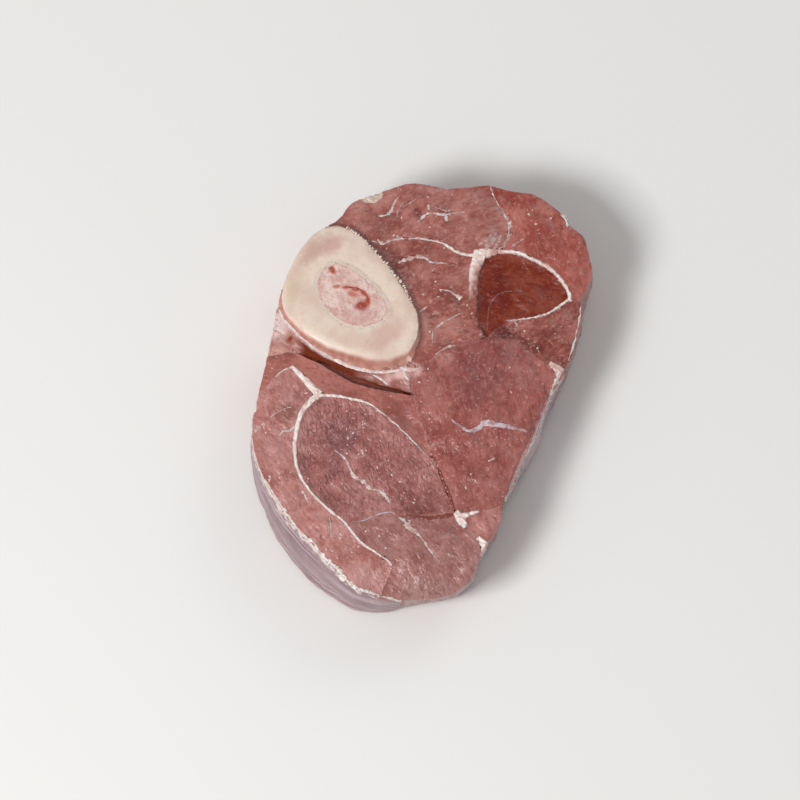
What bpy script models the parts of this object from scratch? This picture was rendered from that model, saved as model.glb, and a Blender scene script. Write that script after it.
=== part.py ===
"""Raw beef shank: one thick slice sawn across the leg, lying on a cut face.

The slice is drawn once in plan, as a butcher sees it: the outline, the round of bone
with its marrow, and the seams between the muscles. The seams cut the plan into
muscles, and each piece of the plan then runs through the slice as its own solid.

Plan and heights are in millimetres. +Z is up, out of the upper cut face, and +Y runs
along the slice's long side, towards the bone. The origin is under the middle of the
slice, on the surface that it lies on.
"""

import math

import bpy
import numpy as np
from mathutils.geometry import delaunay_2d_cdt

MM = 0.001

# Driving sizes
THICKNESS = 26.0
BONE_STANDS = 2.6
CLEARANCE = 0.35

# How fine the solids are: along an edge, between points on a face, down a side (as shares
# of its height), and how near two points of the plan are one
POINT_SPACING = 4.2
FACE_SPACING = 7.5
SIDE_ROWS = (0.88, 0.5, 0.12)
WELD = 0.02

# The cut face's rim, clockwise from the notch between bone and meat
OUTLINE = [
    (-28, 61), (-23.5, 68), (-14, 71.5), (-3, 75), (6.5, 73), (15.5, 73.5), (22, 74),
    (30, 72), (37.5, 71), (43.5, 66.5), (48, 62.5), (49, 59), (52.5, 57.5), (54.5, 52.5),
    (56, 45), (55.5, 40), (52.5, 34), (53, 30), (51.5, 22), (49, 12.5), (46, 5.5),
    (40.5, -4), (36.5, -14.5), (31.5, -26.5), (27, -37.5), (25.5, -45), (22, -51),
    (19, -57), (17, -63.5), (13, -67), (9.5, -69.5), (1.5, -71), (-7, -71.5),
    (-13.5, -70.5), (-22, -67), (-28.5, -60.5), (-36.5, -51.5), (-43.5, -43), (-49, -35),
    (-53.5, -25.5), (-56, -16), (-55.5, -7), (-53.5, 2.5), (-51.5, 12), (-49, 24.5),
    (-47, 35), (-44.5, 43), (-41, 51.5), (-36, 57),
]  # fmt: skip

# The shin bone's shaft, clockwise from the same notch. Its left side is the slice's own rim.
# Its sawn end is drawn in over its last millimetres on the side towards -Y.
BONE = [
    (-28, 59), (-23.5, 57.8), (-19.5, 54.6), (-15.5, 50), (-7.5, 39.5), (-1.7, 28),
    (-1, 18.5), (-3.5, 13), (-8, 10), (-14, 9), (-26.5, 12.3), (-35, 16.5), (-43, 24),
    (-46.2, 30), (-46.6, 35), (-44.3, 42.5), (-41, 50), (-36, 56), (-31.5, 58.8),
]  # fmt: skip
MARROW = [
    (-28.5, 46), (-20.5, 41.5), (-12.5, 33), (-11, 28), (-13, 24), (-19, 21.5),
    (-26.5, 23.5), (-33, 31), (-35, 37), (-33.5, 43),
]  # fmt: skip

BONE_DRAWN_IN = 3.2
BONE_DRAWN_OVER = 5.0
MARROW_SUNK = 0.5

# Fat between two muscles, by the solid that it is part of: its width at the start, the
# middle and the end of its line through the plan
FAT_SEAMS = [
    ("fat_seam_upper", (0.7, 0.8, 0.9),
     [(21.5, 77), (24, 69.5), (27, 64), (29.5, 59), (27.5, 53.5), (24.5, 50.5)]),
    ("fat_seam_upper", (1.5, 1.5, 1.3),
     [(22.5, 50.3), (30, 50.7), (36.1, 48.2), (42.2, 44.7), (46.2, 40.6), (48.7, 36.5), (49.1, 33)]),
    ("fat_seam_upper", (1.3, 0.8, 0.7), [(49, 34.3), (45.1, 30.8), (41, 28.3), (35.5, 26.8), (28, 26.3)]),
    ("fat_seam_upper", (4.8, 3.0, 1.6),
     [(19.5, 51), (17.5, 45), (16.8, 38.5), (16.8, 31.5), (17.5, 24.5), (19.8, 20.4)]),
    ("fat_seam_upper", (4.2, 3.0, 1.8), [(18.5, 49.5), (21.5, 50.3), (25, 50.5)]),
    ("fat_seam_upper", (0.7, 0.8, 1.6),
     [(-18.5, 54.6), (-12, 53.7), (-8, 55.5), (-2, 55), (5.5, 54.5), (10, 51), (15, 49.5), (19, 49.3)]),
    ("fat_seam_lower", (1.4, 2.8, 3.1), [(-43.2, 10.4), (-40, 7), (-37, 3.2), (-33.5, 0)]),
    ("fat_seam_lower", (1.0, 0.8, 0.7), [(-42.5, 10), (-46, 9), (-48.5, 6.5)]),
    ("fat_seam_lower", (1.6, 0.8, 0.7),
     [(-35, 0), (-26.7, -0.4), (-20, -2), (-14, -5.3), (-8.5, -10.5), (-3.3, -16), (2.6, -22)]),
    ("fat_seam_lower", (2.5, 1.3, 1.0),
     [(-33.5, 0.6), (-38.3, -3.5), (-40.6, -8), (-42, -14), (-42.2, -20), (-41.3, -25.5),
      (-39, -31), (-35.5, -35.5), (-31.7, -39.3), (-28.4, -42), (-25, -45)]),
    ("fat_seam_lower", (1.0, 1.1, 0.9),
     [(-25.6, -44.4), (-22.8, -48.4), (-19.8, -52), (-15.8, -54.8), (-11.6, -57), (-9.8, -60)]),
    ("fat_spot_lower", (1.8, 3.4, 1.6), [(11.2, -40.9), (12.5, -43.4), (14.4, -46.4)]),
    ("fat_spot_lower", (2.6, 1.5, 0.9), [(13, -42.6), (15.8, -41.6), (18.8, -40.6)]),
    ("fat_spot_edge", (1.8, 3.6, 2.6), [(18.2, -49.7), (21.1, -52), (20.4, -57.6)]),
    ("fat_spot_right", (1.8, 4.2, 3.2), [(42, 11.6), (45.4, 9), (46.8, 1.5)]),
    ("fat_spot_top", (1.2, 3.6, 1.6), [(-20, 68.6), (-16.6, 68.8), (-13, 70.8)]),
]  # fmt: skip

# Where two muscles only touch: the crease's width at the cut face, at the start, the
# middle and the end of its line. A wide one is a cleft that closes further down.
NARROW = (0.4, 0.4, 0.4)
CREASES = [
    (NARROW, [(48.5, 33.4), (57.5, 33)]),
    (NARROW, [(28.6, 26.3), (24, 23.6), (20, 20)]),
    (NARROW, [(21.3, 20.5), (27.5, 19.5), (33.5, 17), (38.5, 13.5), (43.5, 10), (51, 7.5)]),
    (NARROW, [(21.7, 20.6), (17, 18.5), (12, 17.2), (7, 15), (3, 12), (-1, 10.8), (-5, 12.5)]),
    (NARROW, [(-1, 11.2), (-3.3, 5.5), (-3.6, 0.7), (-2, -3.5), (-0.7, -10.5), (2, -17.5),
              (3.8, -23.6)]),
    ((0.5, 1.0, 0.7), [(3.5, -22.6), (6.6, -29), (9.2, -35.8), (11.4, -42)]),
    (NARROW, [(-55, 13.2), (-47, 14), (-42.4, 15.8)]),
    ((0.6, 2.9, 1.5),
     [(-43, 15.8), (-40, 14.7), (-33.5, 12), (-26.5, 8), (-20, 5), (-13.5, 2.8), (-3.4, 0.6)]),
    (NARROW, [(-48.2, 6.8), (-51.5, 2), (-59, -3.5)]),
    (NARROW, [(-10, -59.6), (-11.6, -64), (-13.5, -67.7), (-14, -74)]),
    ((0.4, 0.5, 0.9),
     [(-25.4, -45), (-20, -44.2), (-16.2, -42.5), (-12, -41.4), (-7.6, -42.5), (-2, -42.8),
      (4.6, -42.8), (11.6, -41.4)]),
    (NARROW, [(18.2, -40.7), (23, -39), (30, -37.6)]),
    (NARROW, [(14, -45.8), (15.8, -48), (18.4, -50.4)]),
    (NARROW, [(4.2, -22.8), (2, -21.6)]),
]  # fmt: skip
CLEFT_DEPTH = 9.0
CLEFT_REACH = 4.0

# The silverskin round the meat: each stretch of the rim, from and to as directions from the
# slice's middle, and how far its edge lies below the meat's. It thins out over its last degrees,
# and ends at a small share of its thickness.
SKIN_THICKNESS = 1.1
SKIN_FADES = 20
SKIN_THINNEST = 0.15
SILVERSKIN = {
    "silverskin_left": (180, 272, 0.3),
    "silverskin_right": (-60, 16, 0.3),
}

# Muscles by a point inside each, how far its face stands above the slice's thickness, and
# how much further its middle swells. The sheath is the gristle between the bone and them.
MUSCLES = {
    "muscle_upper": ((0, 66), 0.2, 1.0),
    "muscle_bright": ((42, 57), 0.3, 1.2),
    "muscle_inner": ((5, 35), 0.0, 0.8),
    "muscle_dark": ((30, 38), -1.6, 0.2),
    "muscle_side": ((42, 22), -0.5, 0.6),
    "muscle_centre": ((20, -5), 0.3, 1.5),
    "muscle_band": ((-20, 1.2), -0.3, 0.3),
    "muscle_oval": ((-20, -25), -0.4, -0.9),
    "muscle_outer": ((-48, -20), 0.0, 0.6),
    "muscle_lower": ((0, -55), -0.2, 0.7),
    "muscle_sliver": ((19, -45), -0.2, 0.3),
    "bone_sheath": ((-46, 20), -1.0, 0.0),
}
SWELL_REACH = 6.0
FAT_STANDS = 0.1
EDGE_DROP = 0.45
UNDER_EDGE = 0.8
UNDER_SKIN = 1.2
UNDER_MARROW = 0.3

# The tip of the cut face, towards -Y, falls away
TIP_FALLS = 6.0
TIP_FROM_Y, TIP_TO_Y = -56, -76
TIP_FROM_X, TIP_TO_X = -26, -6

# How the sides leave the upright, as the leg narrows on one side and swells on the other:
# a direction, then how far out the side is at the underside and at half height
LEAN = [
    (-180, -0.3, 0.2), (-157, 0.3, 1.0), (-147, 1.7, 1.9), (-136, 3.4, 2.9), (-127, 4.1, 3.2),
    (-119, 3.5, 2.8), (-111, 0.7, 1.3), (-103, -2.2, -0.5), (-95, -6.2, -2.6), (-87, -7.5, -3.3),
    (-75, -6.0, -2.5), (-63, -4.2, -1.6), (-45, -3.1, -1.0), (-24, -1.0, 0.2), (-13, 0.2, 0.8),
    (0, -2.0, -0.6), (15, -3.0, -1.2), (30, -1.8, -0.1), (45, -1.0, 0.6), (90, -0.5, 1.0),
    (135, 0.0, 0.8),
]  # fmt: skip

# Colours as red, green, blue, and roughness
LOOKS = {
    "bone": ((0.80, 0.71, 0.57), 0.45),
    "marrow": ((0.72, 0.42, 0.37), 0.4),
    "fat": ((0.83, 0.72, 0.66), 0.4),
    "skin": ((0.62, 0.48, 0.48), 0.3),
    "sheath": ((0.66, 0.36, 0.31), 0.35),
    "muscle": ((0.40, 0.13, 0.11), 0.35),
    "muscle_dark": ((0.19, 0.045, 0.035), 0.35),
    "muscle_bright": ((0.46, 0.13, 0.10), 0.35),
}


def curve_through(points, spacing, closed=False):
    """Points about spacing apart on a smooth curve through the given ones."""
    given = np.array(points, float)
    if closed:
        held = np.vstack([given[-1], given, given[:2]])
    else:
        held = np.vstack([2 * given[0] - given[1], given, 2 * given[-1] - given[-2]])
    fine = []
    t = np.linspace(0, 1, 20, endpoint=False)[:, None]
    for a, b, c, d in zip(held, held[1:], held[2:], held[3:]):
        cubic = 3 * (b - c) + d - a
        square = 2 * a - 5 * b + 4 * c - d
        fine.append(b + 0.5 * t * (c - a + t * (square + t * cubic)))
    fine = np.vstack([*fine, given[:1] if closed else given[-1:]])
    along = np.concatenate([[0], np.cumsum(np.linalg.norm(np.diff(fine, axis=0), axis=1))])
    count = max(2, round(along[-1] / spacing))
    stops = np.linspace(0, along[-1], count + 1)
    even = np.column_stack([np.interp(stops, along, fine[:, k]) for k in (0, 1)])
    return even[:-1] if closed else even


def sideways(line, closed=False):
    """Unit normals of a line, to its left."""
    if closed:
        run = np.roll(line, -1, axis=0) - np.roll(line, 1, axis=0)
    else:
        run = np.gradient(line, axis=0)
    run /= np.linalg.norm(run, axis=1)[:, None]
    return np.column_stack([-run[:, 1], run[:, 0]])


def width_at(share, widths):
    """A band's width at a share of its length, between its three given widths."""
    return np.interp(share, (0, 0.5, 1), widths)


def ribbon(line, widths, extra=0.0):
    """The outline of a band along a line, with extra on each side."""
    half = width_at(np.linspace(0, 1, len(line)), widths)[:, None] / 2 + extra
    across = sideways(line)
    run = np.column_stack([across[:, 1], -across[:, 0]])
    line = line.copy()
    line[0] -= run[0] * extra
    line[-1] += run[-1] * extra
    return np.vstack([line - across * half, (line + across * half)[::-1]])


def grown(loop, by):
    """A closed loop, anticlockwise, moved outwards."""
    return loop - sideways(loop, closed=True) * by


def anticlockwise(loop):
    x, y = loop.T
    area = np.sum(x * np.roll(y, -1) - y * np.roll(x, -1))
    return loop if area > 0 else loop[::-1]


def nearest_on(points, starts, ends):
    """For each point, the way to it from the nearest of some straight segments, and that one's number."""
    away = np.full(points.shape, np.inf)
    which = np.zeros(len(points))
    for number, (start, end) in enumerate(zip(starts, ends)):
        run = end - start
        t = np.clip((points - start) @ run / max(run @ run, 1e-9), 0, 1)
        offset = points - start - t[:, None] * run
        nearer = np.linalg.norm(offset, axis=1) < np.linalg.norm(away, axis=1)
        away[nearer] = offset[nearer]
        which[nearer] = number + t[nearer]
    return away, which


def distance_to(points, starts, ends):
    return np.linalg.norm(nearest_on(points, starts, ends)[0], axis=1)


def smoothstep(low, high, value):
    t = np.clip((value - low) / (high - low), 0, 1)
    return t * t * (3 - 2 * t)


RIM = anticlockwise(curve_through(OUTLINE, POINT_SPACING, closed=True))
SHAFT = anticlockwise(curve_through(BONE, POINT_SPACING, closed=True))
CORE = anticlockwise(curve_through(MARROW, POINT_SPACING, closed=True))
RIM_ANGLES = np.degrees(np.arctan2(RIM[:, 1], RIM[:, 0]))
RIM_ORDER = np.argsort(RIM_ANGLES)


def rim_radius(angle):
    return np.interp(
        angle,
        RIM_ANGLES[RIM_ORDER],
        np.linalg.norm(RIM, axis=1)[RIM_ORDER],
        period=360,
    )


def skin_share(start, end):
    """How much of its full thickness a stretch of silverskin has at each point of the rim."""
    after = (RIM_ANGLES - start) % 360
    length = (end - start) % 360
    inside = after <= length
    fade = smoothstep(0, SKIN_FADES, np.minimum(after, length - after))
    return np.where(inside, fade, 0.0)


def skin_loop(share):
    """A stretch of silverskin in plan: the rim outside, and inside it its thickness further in."""
    picked = np.flatnonzero(share > SKIN_THINNEST)
    step = np.flatnonzero(np.diff(picked) > 1)
    if len(step):
        picked = np.roll(picked, -step[0] - 1)
    inner = grown(RIM, -SKIN_THICKNESS * share[:, None])
    return np.vstack([RIM[picked], inner[picked][::-1]])


def meat_loop(shares):
    """The rim, set back where silverskin covers it."""
    share = np.max(shares, axis=0)[:, None]
    return grown(RIM, -SKIN_THICKNESS * share - CLEARANCE * np.clip(share * 6, 0, 1))


def open_clefts(points):
    """Parts the flesh along each wide crease, most at the cut face and not at all below its depth."""
    plan, z = points[:, :2].copy(), points[:, 2]
    near_face = smoothstep(THICKNESS - CLEFT_DEPTH, THICKNESS, z)
    for widths, line_points in CREASES:
        if widths == NARROW:
            continue
        line = curve_through(line_points, POINT_SPACING)
        away, along = nearest_on(points[:, :2], line[:-1], line[1:])
        distance = np.maximum(np.linalg.norm(away, axis=1), 1e-6)
        wanted = (width_at(along / (len(line) - 1), widths) - NARROW[0]) / 2
        push = wanted * near_face * np.clip(1 - distance / CLEFT_REACH, 0, 1)
        plan += away * (push / distance)[:, None]
    return np.column_stack([plan, z])


def lean(points):
    """Moves points of the upright slice to where the real one's sides swell and lean."""
    x, y, z = points.T
    angle = np.degrees(np.arctan2(y, x))
    radius = np.hypot(x, y)
    share = np.clip(radius / rim_radius(angle), 0, 1.1)
    depth = np.clip(1 - z / THICKNESS, 0, 1)
    direction, under, half_way = np.array(LEAN).T
    under = np.interp(angle, direction, under, period=360)
    half_way = np.interp(angle, direction, half_way, period=360)
    out = share**2 * depth * (under * (2 * depth - 1) + half_way * 4 * (1 - depth))
    out /= np.maximum(radius, 1e-6)
    return np.column_stack([x * (1 + out), y * (1 + out), z])


def draw_in(points):
    """Draws the bone's sawn end in on its side towards -Y, with its marrow."""
    x, y, z = points.T
    end = THICKNESS + BONE_STANDS
    near_end = smoothstep(end - BONE_DRAWN_OVER, end, z)
    low, middle = SHAFT[:, 1].min(), SHAFT[:, 1].mean()
    low_side = np.clip((middle - y) / (middle - low), 0, 1)
    return np.column_stack([x, y + BONE_DRAWN_IN * near_end * low_side, z])


def ground(x, y):
    """The height of the cut face before any muscle swells: gentle waves, and the tip's fall."""
    waves = 0.35 * np.sin(x / 9 + 0.6) * np.cos(y / 11) + 0.25 * np.sin((x - y) / 13 + 2)
    tip = smoothstep(TIP_FROM_Y, TIP_TO_Y, y - 0.12 * x) * smoothstep(TIP_FROM_X, TIP_TO_X, x)
    return THICKNESS + waves - TIP_FALLS * tip


def plan_regions():
    """The plan cut into triangles, and for each named solid the triangles that are its own."""
    loops, tags = [], []

    def add(tag, loop):
        loops.append(anticlockwise(loop))
        tags.append(tag)

    shares = {node: skin_share(start, end) for node, (start, end, _) in SILVERSKIN.items()}
    add("meat", meat_loop(list(shares.values())))
    add("clear", grown(SHAFT, CLEARANCE))
    add("bone", SHAFT)
    add("marrow_clear", grown(CORE, CLEARANCE))
    add("marrow", CORE)
    for node, widths, points in FAT_SEAMS:
        line = curve_through(points, POINT_SPACING)
        add("fat:" + node, ribbon(line, widths))
        add("clear", ribbon(line, widths, CLEARANCE))
    for _, points in CREASES:
        add("clear", ribbon(curve_through(points, POINT_SPACING), NARROW))
    for node, share in shares.items():
        add("skin:" + node, skin_loop(share))

    corners = np.vstack(loops)
    firsts = np.cumsum([0] + [len(loop) for loop in loops[:-1]])
    ends = np.vstack([np.roll(loop, -1, axis=0) for loop in loops])
    points = [tuple(p) for p in np.vstack([corners, face_points(corners, ends)])]
    faces = [list(range(first, first + len(loop))) for first, loop in zip(firsts, loops)]
    plan, _, triangles, _, _, owners = delaunay_2d_cdt(points, [], faces, 1, WELD)
    plan = np.array(plan)

    whose = [owner_of({tags[i] for i in found}) for found in owners]
    pieces = {}
    for triangle, owner in zip(triangles, whose):
        if owner and owner != "muscle":
            pieces.setdefault(owner, []).append(list(triangle))
    muscles = connected([list(t) for t, owner in zip(triangles, whose) if owner == "muscle"])
    for name, (seed, _, _) in MUSCLES.items():
        pieces[name] = next(m for m in muscles if holds(plan, m, seed))
    return plan, {name: max(connected(found), key=len) for name, found in pieces.items()}


def face_points(starts, ends):
    """A triangular grid of points over the slice, clear of every line, so that the faces can swell."""
    low, high = RIM.min(0), RIM.max(0)
    rows = []
    for k, y in enumerate(np.arange(low[1], high[1], FACE_SPACING * math.sqrt(0.75))):
        x = np.arange(low[0] + (k % 2) * FACE_SPACING / 2, high[0], FACE_SPACING)
        rows.append(np.column_stack([x, np.full(len(x), y)]))
    grid = np.vstack(rows)
    return grid[distance_to(grid, starts, ends) > FACE_SPACING * 0.34]


def owner_of(tags):
    """Which solid a triangle belongs to, from the outlines that hold it. None is a gap."""
    fat_or_skin = "fat:" if "meat" in tags else "skin:"
    named = sorted(tag for tag in tags if tag.startswith(fat_or_skin))
    if named and not tags & {"bone", "marrow_clear"}:
        return named[0][len(fat_or_skin):]
    if "marrow" in tags:
        return "marrow"
    if "marrow_clear" in tags:
        return None
    if "bone" in tags:
        return "bone"
    return "muscle" if "meat" in tags and "clear" not in tags else None


def sides_of(triangle):
    a, b, c = triangle
    return (a, b), (b, c), (c, a)


def connected(triangles):
    """Groups of triangles that join each other along sides."""
    by_side = {}
    for i, triangle in enumerate(triangles):
        for a, b in sides_of(triangle):
            by_side.setdefault((min(a, b), max(a, b)), []).append(i)
    group = [None] * len(triangles)
    groups = []
    for first in range(len(triangles)):
        if group[first] is not None:
            continue
        group[first] = len(groups)
        waiting, members = [first], []
        while waiting:
            i = waiting.pop()
            members.append(triangles[i])
            for a, b in sides_of(triangles[i]):
                for j in by_side[(min(a, b), max(a, b))]:
                    if group[j] is None:
                        group[j] = len(groups)
                        waiting.append(j)
        groups.append(members)
    return groups


def holds(plan, triangles, seed):
    """Whether a point of the plan is in one of some triangles."""
    for triangle in triangles:
        ways = [(plan[b] - plan[a], np.array(seed) - plan[a]) for a, b in sides_of(triangle)]
        if all(run[0] * way[1] - run[1] * way[0] >= 0 for run, way in ways):
            return True
    return False


def face_heights(name, plan, used, rim_sides):
    """Heights of a piece's upper and lower face at each of its plan points."""
    points = plan[used]
    starts, ends = plan[[a for a, _ in rim_sides]], plan[[b for _, b in rim_sides]]
    inward = distance_to(points, starts, ends)
    on_rim = inward < 1e-6
    base = ground(*points.T)
    if name in MUSCLES:
        _, stands, swell = MUSCLES[name]
        top = base + stands + swell * (1 - np.exp(-inward / SWELL_REACH)) - EDGE_DROP * on_rim
        return top, np.where(on_rim, UNDER_EDGE, 0.0)
    if name == "bone":
        return np.full(len(points), THICKNESS + BONE_STANDS), np.zeros(len(points))
    if name == "marrow":
        top = THICKNESS + BONE_STANDS - MARROW_SUNK * (1 + on_rim)
        return top, np.full(len(points), UNDER_MARROW)
    if name in SILVERSKIN:
        return base - EDGE_DROP - SILVERSKIN[name][2], np.full(len(points), UNDER_SKIN)
    return base + FAT_STANDS, np.full(len(points), UNDER_EDGE)


def solid(name, plan, triangles, material):
    """One piece of the plan as a closed solid: two faces, and the side between them in rows."""
    used = sorted({i for triangle in triangles for i in triangle})
    place = {i: k for k, i in enumerate(used)}
    sides = {side for triangle in triangles for side in sides_of(triangle)}
    rim_sides = sorted((a, b) for a, b in sides if (b, a) not in sides)
    rim_points = sorted({a for a, _ in rim_sides})
    top, bottom = face_heights(name, plan, used, rim_sides)

    upper = np.column_stack([plan[used], top])
    lower = np.column_stack([plan[used], bottom])
    rim = [place[i] for i in rim_points]
    rows = [upper[rim] * share + lower[rim] * (1 - share) for share in SIDE_ROWS]
    points = np.vstack([upper, lower, *rows])
    points = draw_in(points) if name in ("bone", "marrow") else open_clefts(points)
    points = lean(points)

    count = len(used)
    levels = [{i: place[i] for i in rim_points}]
    for row in range(len(SIDE_ROWS)):
        first = 2 * count + row * len(rim_points)
        levels.append({i: first + k for k, i in enumerate(rim_points)})
    levels.append({i: count + place[i] for i in rim_points})

    faces = [[place[i] for i in t] for t in triangles]
    faces += [[count + place[i] for i in reversed(t)] for t in triangles]
    for above, below in zip(levels, levels[1:]):
        for a, b in rim_sides:
            faces.append([above[a], below[a], below[b]])
            faces.append([above[a], below[b], above[b]])

    mesh = bpy.data.meshes.new(name)
    mesh.from_pydata([tuple(p) for p in points * MM], [], faces)
    mesh.validate()
    mesh.shade_smooth()
    mesh.materials.append(material)
    piece = bpy.data.objects.new(name, mesh)
    bpy.context.scene.collection.objects.link(piece)
    return piece


def material_for(look):
    found = bpy.data.materials.get(look)
    if found:
        return found
    colour, roughness = LOOKS[look]
    made = bpy.data.materials.new(look)
    made.use_nodes = True
    shader = made.node_tree.nodes["Principled BSDF"]
    shader.inputs["Base Color"].default_value = (*colour, 1)
    shader.inputs["Roughness"].default_value = roughness
    shader.inputs["Metallic"].default_value = 0
    return made


def look_of(name):
    if name in LOOKS:
        return name
    for start, look in (("fat", "fat"), ("silverskin", "skin"), ("bone_sheath", "sheath")):
        if name.startswith(start):
            return look
    return "muscle"


def centre(pieces):
    """Moves every mesh so that the origin lies under the middle of the slice, at its lowest point."""
    corners = np.array([v.co for piece in pieces for v in piece.data.vertices])
    low, high = corners.min(0), corners.max(0)
    shift = np.array([(low[0] + high[0]) / 2, (low[1] + high[1]) / 2, low[2]])
    for piece in pieces:
        for vertex in piece.data.vertices:
            vertex.co = vertex.co - type(vertex.co)(shift)


def build():
    for old in list(bpy.data.objects):
        bpy.data.objects.remove(old)
    plan, pieces = plan_regions()
    made = [
        solid(name, plan, triangles, material_for(look_of(name)))
        for name, triangles in sorted(pieces.items())
    ]
    centre(made)


if __name__ == "__main__":
    build()
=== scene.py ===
import math

import bpy
import numpy as np
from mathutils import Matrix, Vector


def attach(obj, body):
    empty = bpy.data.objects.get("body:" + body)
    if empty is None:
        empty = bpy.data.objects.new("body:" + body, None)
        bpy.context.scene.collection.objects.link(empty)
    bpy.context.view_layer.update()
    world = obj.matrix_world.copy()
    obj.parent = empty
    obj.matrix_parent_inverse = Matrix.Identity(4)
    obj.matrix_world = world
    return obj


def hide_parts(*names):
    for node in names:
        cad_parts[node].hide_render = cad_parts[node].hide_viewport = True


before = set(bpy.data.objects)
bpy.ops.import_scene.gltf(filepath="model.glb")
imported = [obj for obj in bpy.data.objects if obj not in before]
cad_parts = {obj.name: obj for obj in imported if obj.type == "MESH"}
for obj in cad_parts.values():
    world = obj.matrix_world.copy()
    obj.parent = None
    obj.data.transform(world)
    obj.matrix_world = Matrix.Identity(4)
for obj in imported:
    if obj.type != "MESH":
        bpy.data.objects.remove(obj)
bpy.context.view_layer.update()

# Muscles
# The sawn ends of eleven muscles, raw lean beef. Each is packed from bundles of fibre that
# run through the slice, so its face shows their ends: low bumps with paler film between.
# Every piece of the slice grows from its own CAD solid and presses against its neighbours.
MM = 0.001

# The photograph: a pixel's size on the slice, the pixel over its middle, and how steeply it looks down
PIXEL = 0.33 * MM
MIDDLE_U, MIDDLE_V = 421.4, 387.4
TILT = math.radians(70)

# How often a CAD solid is smoothed, and the bends at which its edges stay sharp
SMOOTHING_ROUNDS = 3
SHARP_EDGE = math.radians(50)
SHARP_AFTER_SMOOTHING = math.radians(36)
CRISP_RIM = math.radians(48)

# The cut face's height, the slice's mean radius, and how far noise swings about its middle
FACE_HEIGHT = 26 * MM
SLICE_RADIUS = 60 * MM
LEVEL = (1, 1, 0)
NOISE_SWING = 0.25


def on_face(u, v, height=FACE_HEIGHT):
    """The place on the cut face, or at another height, under a pixel of the photograph, in metres."""
    across = (MIDDLE_V - v) * PIXEL / math.sin(TILT)
    return (u - MIDDLE_U) * PIXEL, across - (height - FACE_HEIGHT) / math.tan(TILT)


def paint(red, green, blue):
    """A colour for a shader, from red, green and blue as a screen shows them, 0 to 255."""
    shares = [c / 255 for c in (red, green, blue)]
    return (*(c / 12.92 if c <= 0.04045 else ((c + 0.055) / 1.055) ** 2.4 for c in shares), 1)


def feed(tree, entry, value):
    """Links a node's input to another node's output, or sets it to a value."""
    if isinstance(value, bpy.types.NodeSocket):
        tree.links.new(value, entry)
    else:
        entry.default_value = value


def add(tree, kind, inputs, **settings):
    """Adds a node with these settings, and feeds its inputs by name or number."""
    made = tree.nodes.new(kind)
    for name, value in settings.items():
        setattr(made, name, value)
    for key, value in inputs.items():
        feed(tree, made.inputs[key], value)
    return made


def maths(tree, operation, *values):
    return add(tree, "ShaderNodeMath", dict(enumerate(values)), operation=operation).outputs[0]


def plus(tree, first, second):
    return maths(tree, "ADD", first, second)


def minus(tree, first, second):
    return maths(tree, "SUBTRACT", first, second)


def times(tree, first, second):
    return maths(tree, "MULTIPLY", first, second)


def divided(tree, first, second):
    return maths(tree, "DIVIDE", first, second)


def vectors(tree, operation, *values):
    return add(tree, "ShaderNodeVectorMath", dict(enumerate(values)), operation=operation).outputs[0]


def scaled(tree, direction, by):
    return add(tree, "ShaderNodeVectorMath", {0: direction, "Scale": by}, operation="SCALE").outputs[0]


def size_of(tree, direction):
    return add(tree, "ShaderNodeVectorMath", {0: direction}, operation="LENGTH").outputs["Value"]


def distance(tree, place, other):
    return add(tree, "ShaderNodeVectorMath", {0: place, 1: other}, operation="DISTANCE").outputs["Value"]


def vector(tree, x=0.0, y=0.0, z=0.0):
    return add(tree, "ShaderNodeCombineXYZ", {0: x, 1: y, 2: z}).outputs[0]


def parts(tree, place):
    return add(tree, "ShaderNodeSeparateXYZ", {0: place}).outputs


def position(tree):
    return add(tree, "GeometryNodeInputPosition", {}).outputs[0]


def between(tree, value, low, high, start=0.0, end=1.0):
    """Turns a value smoothly from start, at low, into end, at high."""
    inputs = {"Value": value, "From Min": low, "From Max": high, "To Min": start, "To Max": end}
    return add(tree, "ShaderNodeMapRange", inputs, interpolation_type="SMOOTHSTEP").outputs["Result"]


def noise(tree, place, size, detail=2.0, roughness=0.5, output="Fac"):
    """Soft noise whose blotches are about one size apart, in metres."""
    inputs = {"Vector": place, "Scale": 1 / size, "Detail": detail, "Roughness": roughness}
    return add(tree, "ShaderNodeTexNoise", inputs).outputs[output]


def bumps(tree, place, scale):
    """How far places lie from the middles of soft, rounded cells."""
    inputs = {"Vector": place, "Scale": scale}
    return add(tree, "ShaderNodeTexVoronoi", inputs, feature="SMOOTH_F1").outputs["Distance"]


def swing(tree, place, size, detail=2.0):
    """A noise that wanders about nought in every direction."""
    return vectors(tree, "SUBTRACT", noise(tree, place, size, detail, output="Color"), (0.5, 0.5, 0.5))


def centred(tree, value, height):
    """A noise moved to swing about nought, and stretched to a height each way."""
    return times(tree, minus(tree, value, 0.5), times(tree, height, 1 / NOISE_SWING))


def drifting(tree, place, size, reach):
    """A level step aside that wanders from place to place, mostly within a reach."""
    aside = vectors(tree, "MULTIPLY", swing(tree, place, size, 3.0), LEVEL)
    return scaled(tree, aside, times(tree, reach, 1 / NOISE_SWING))


def fading(tree, away, reach):
    """One at no distance, falling off over a reach."""
    return maths(tree, "EXPONENT", divided(tree, away, times(tree, reach, -1.0)))


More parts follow.
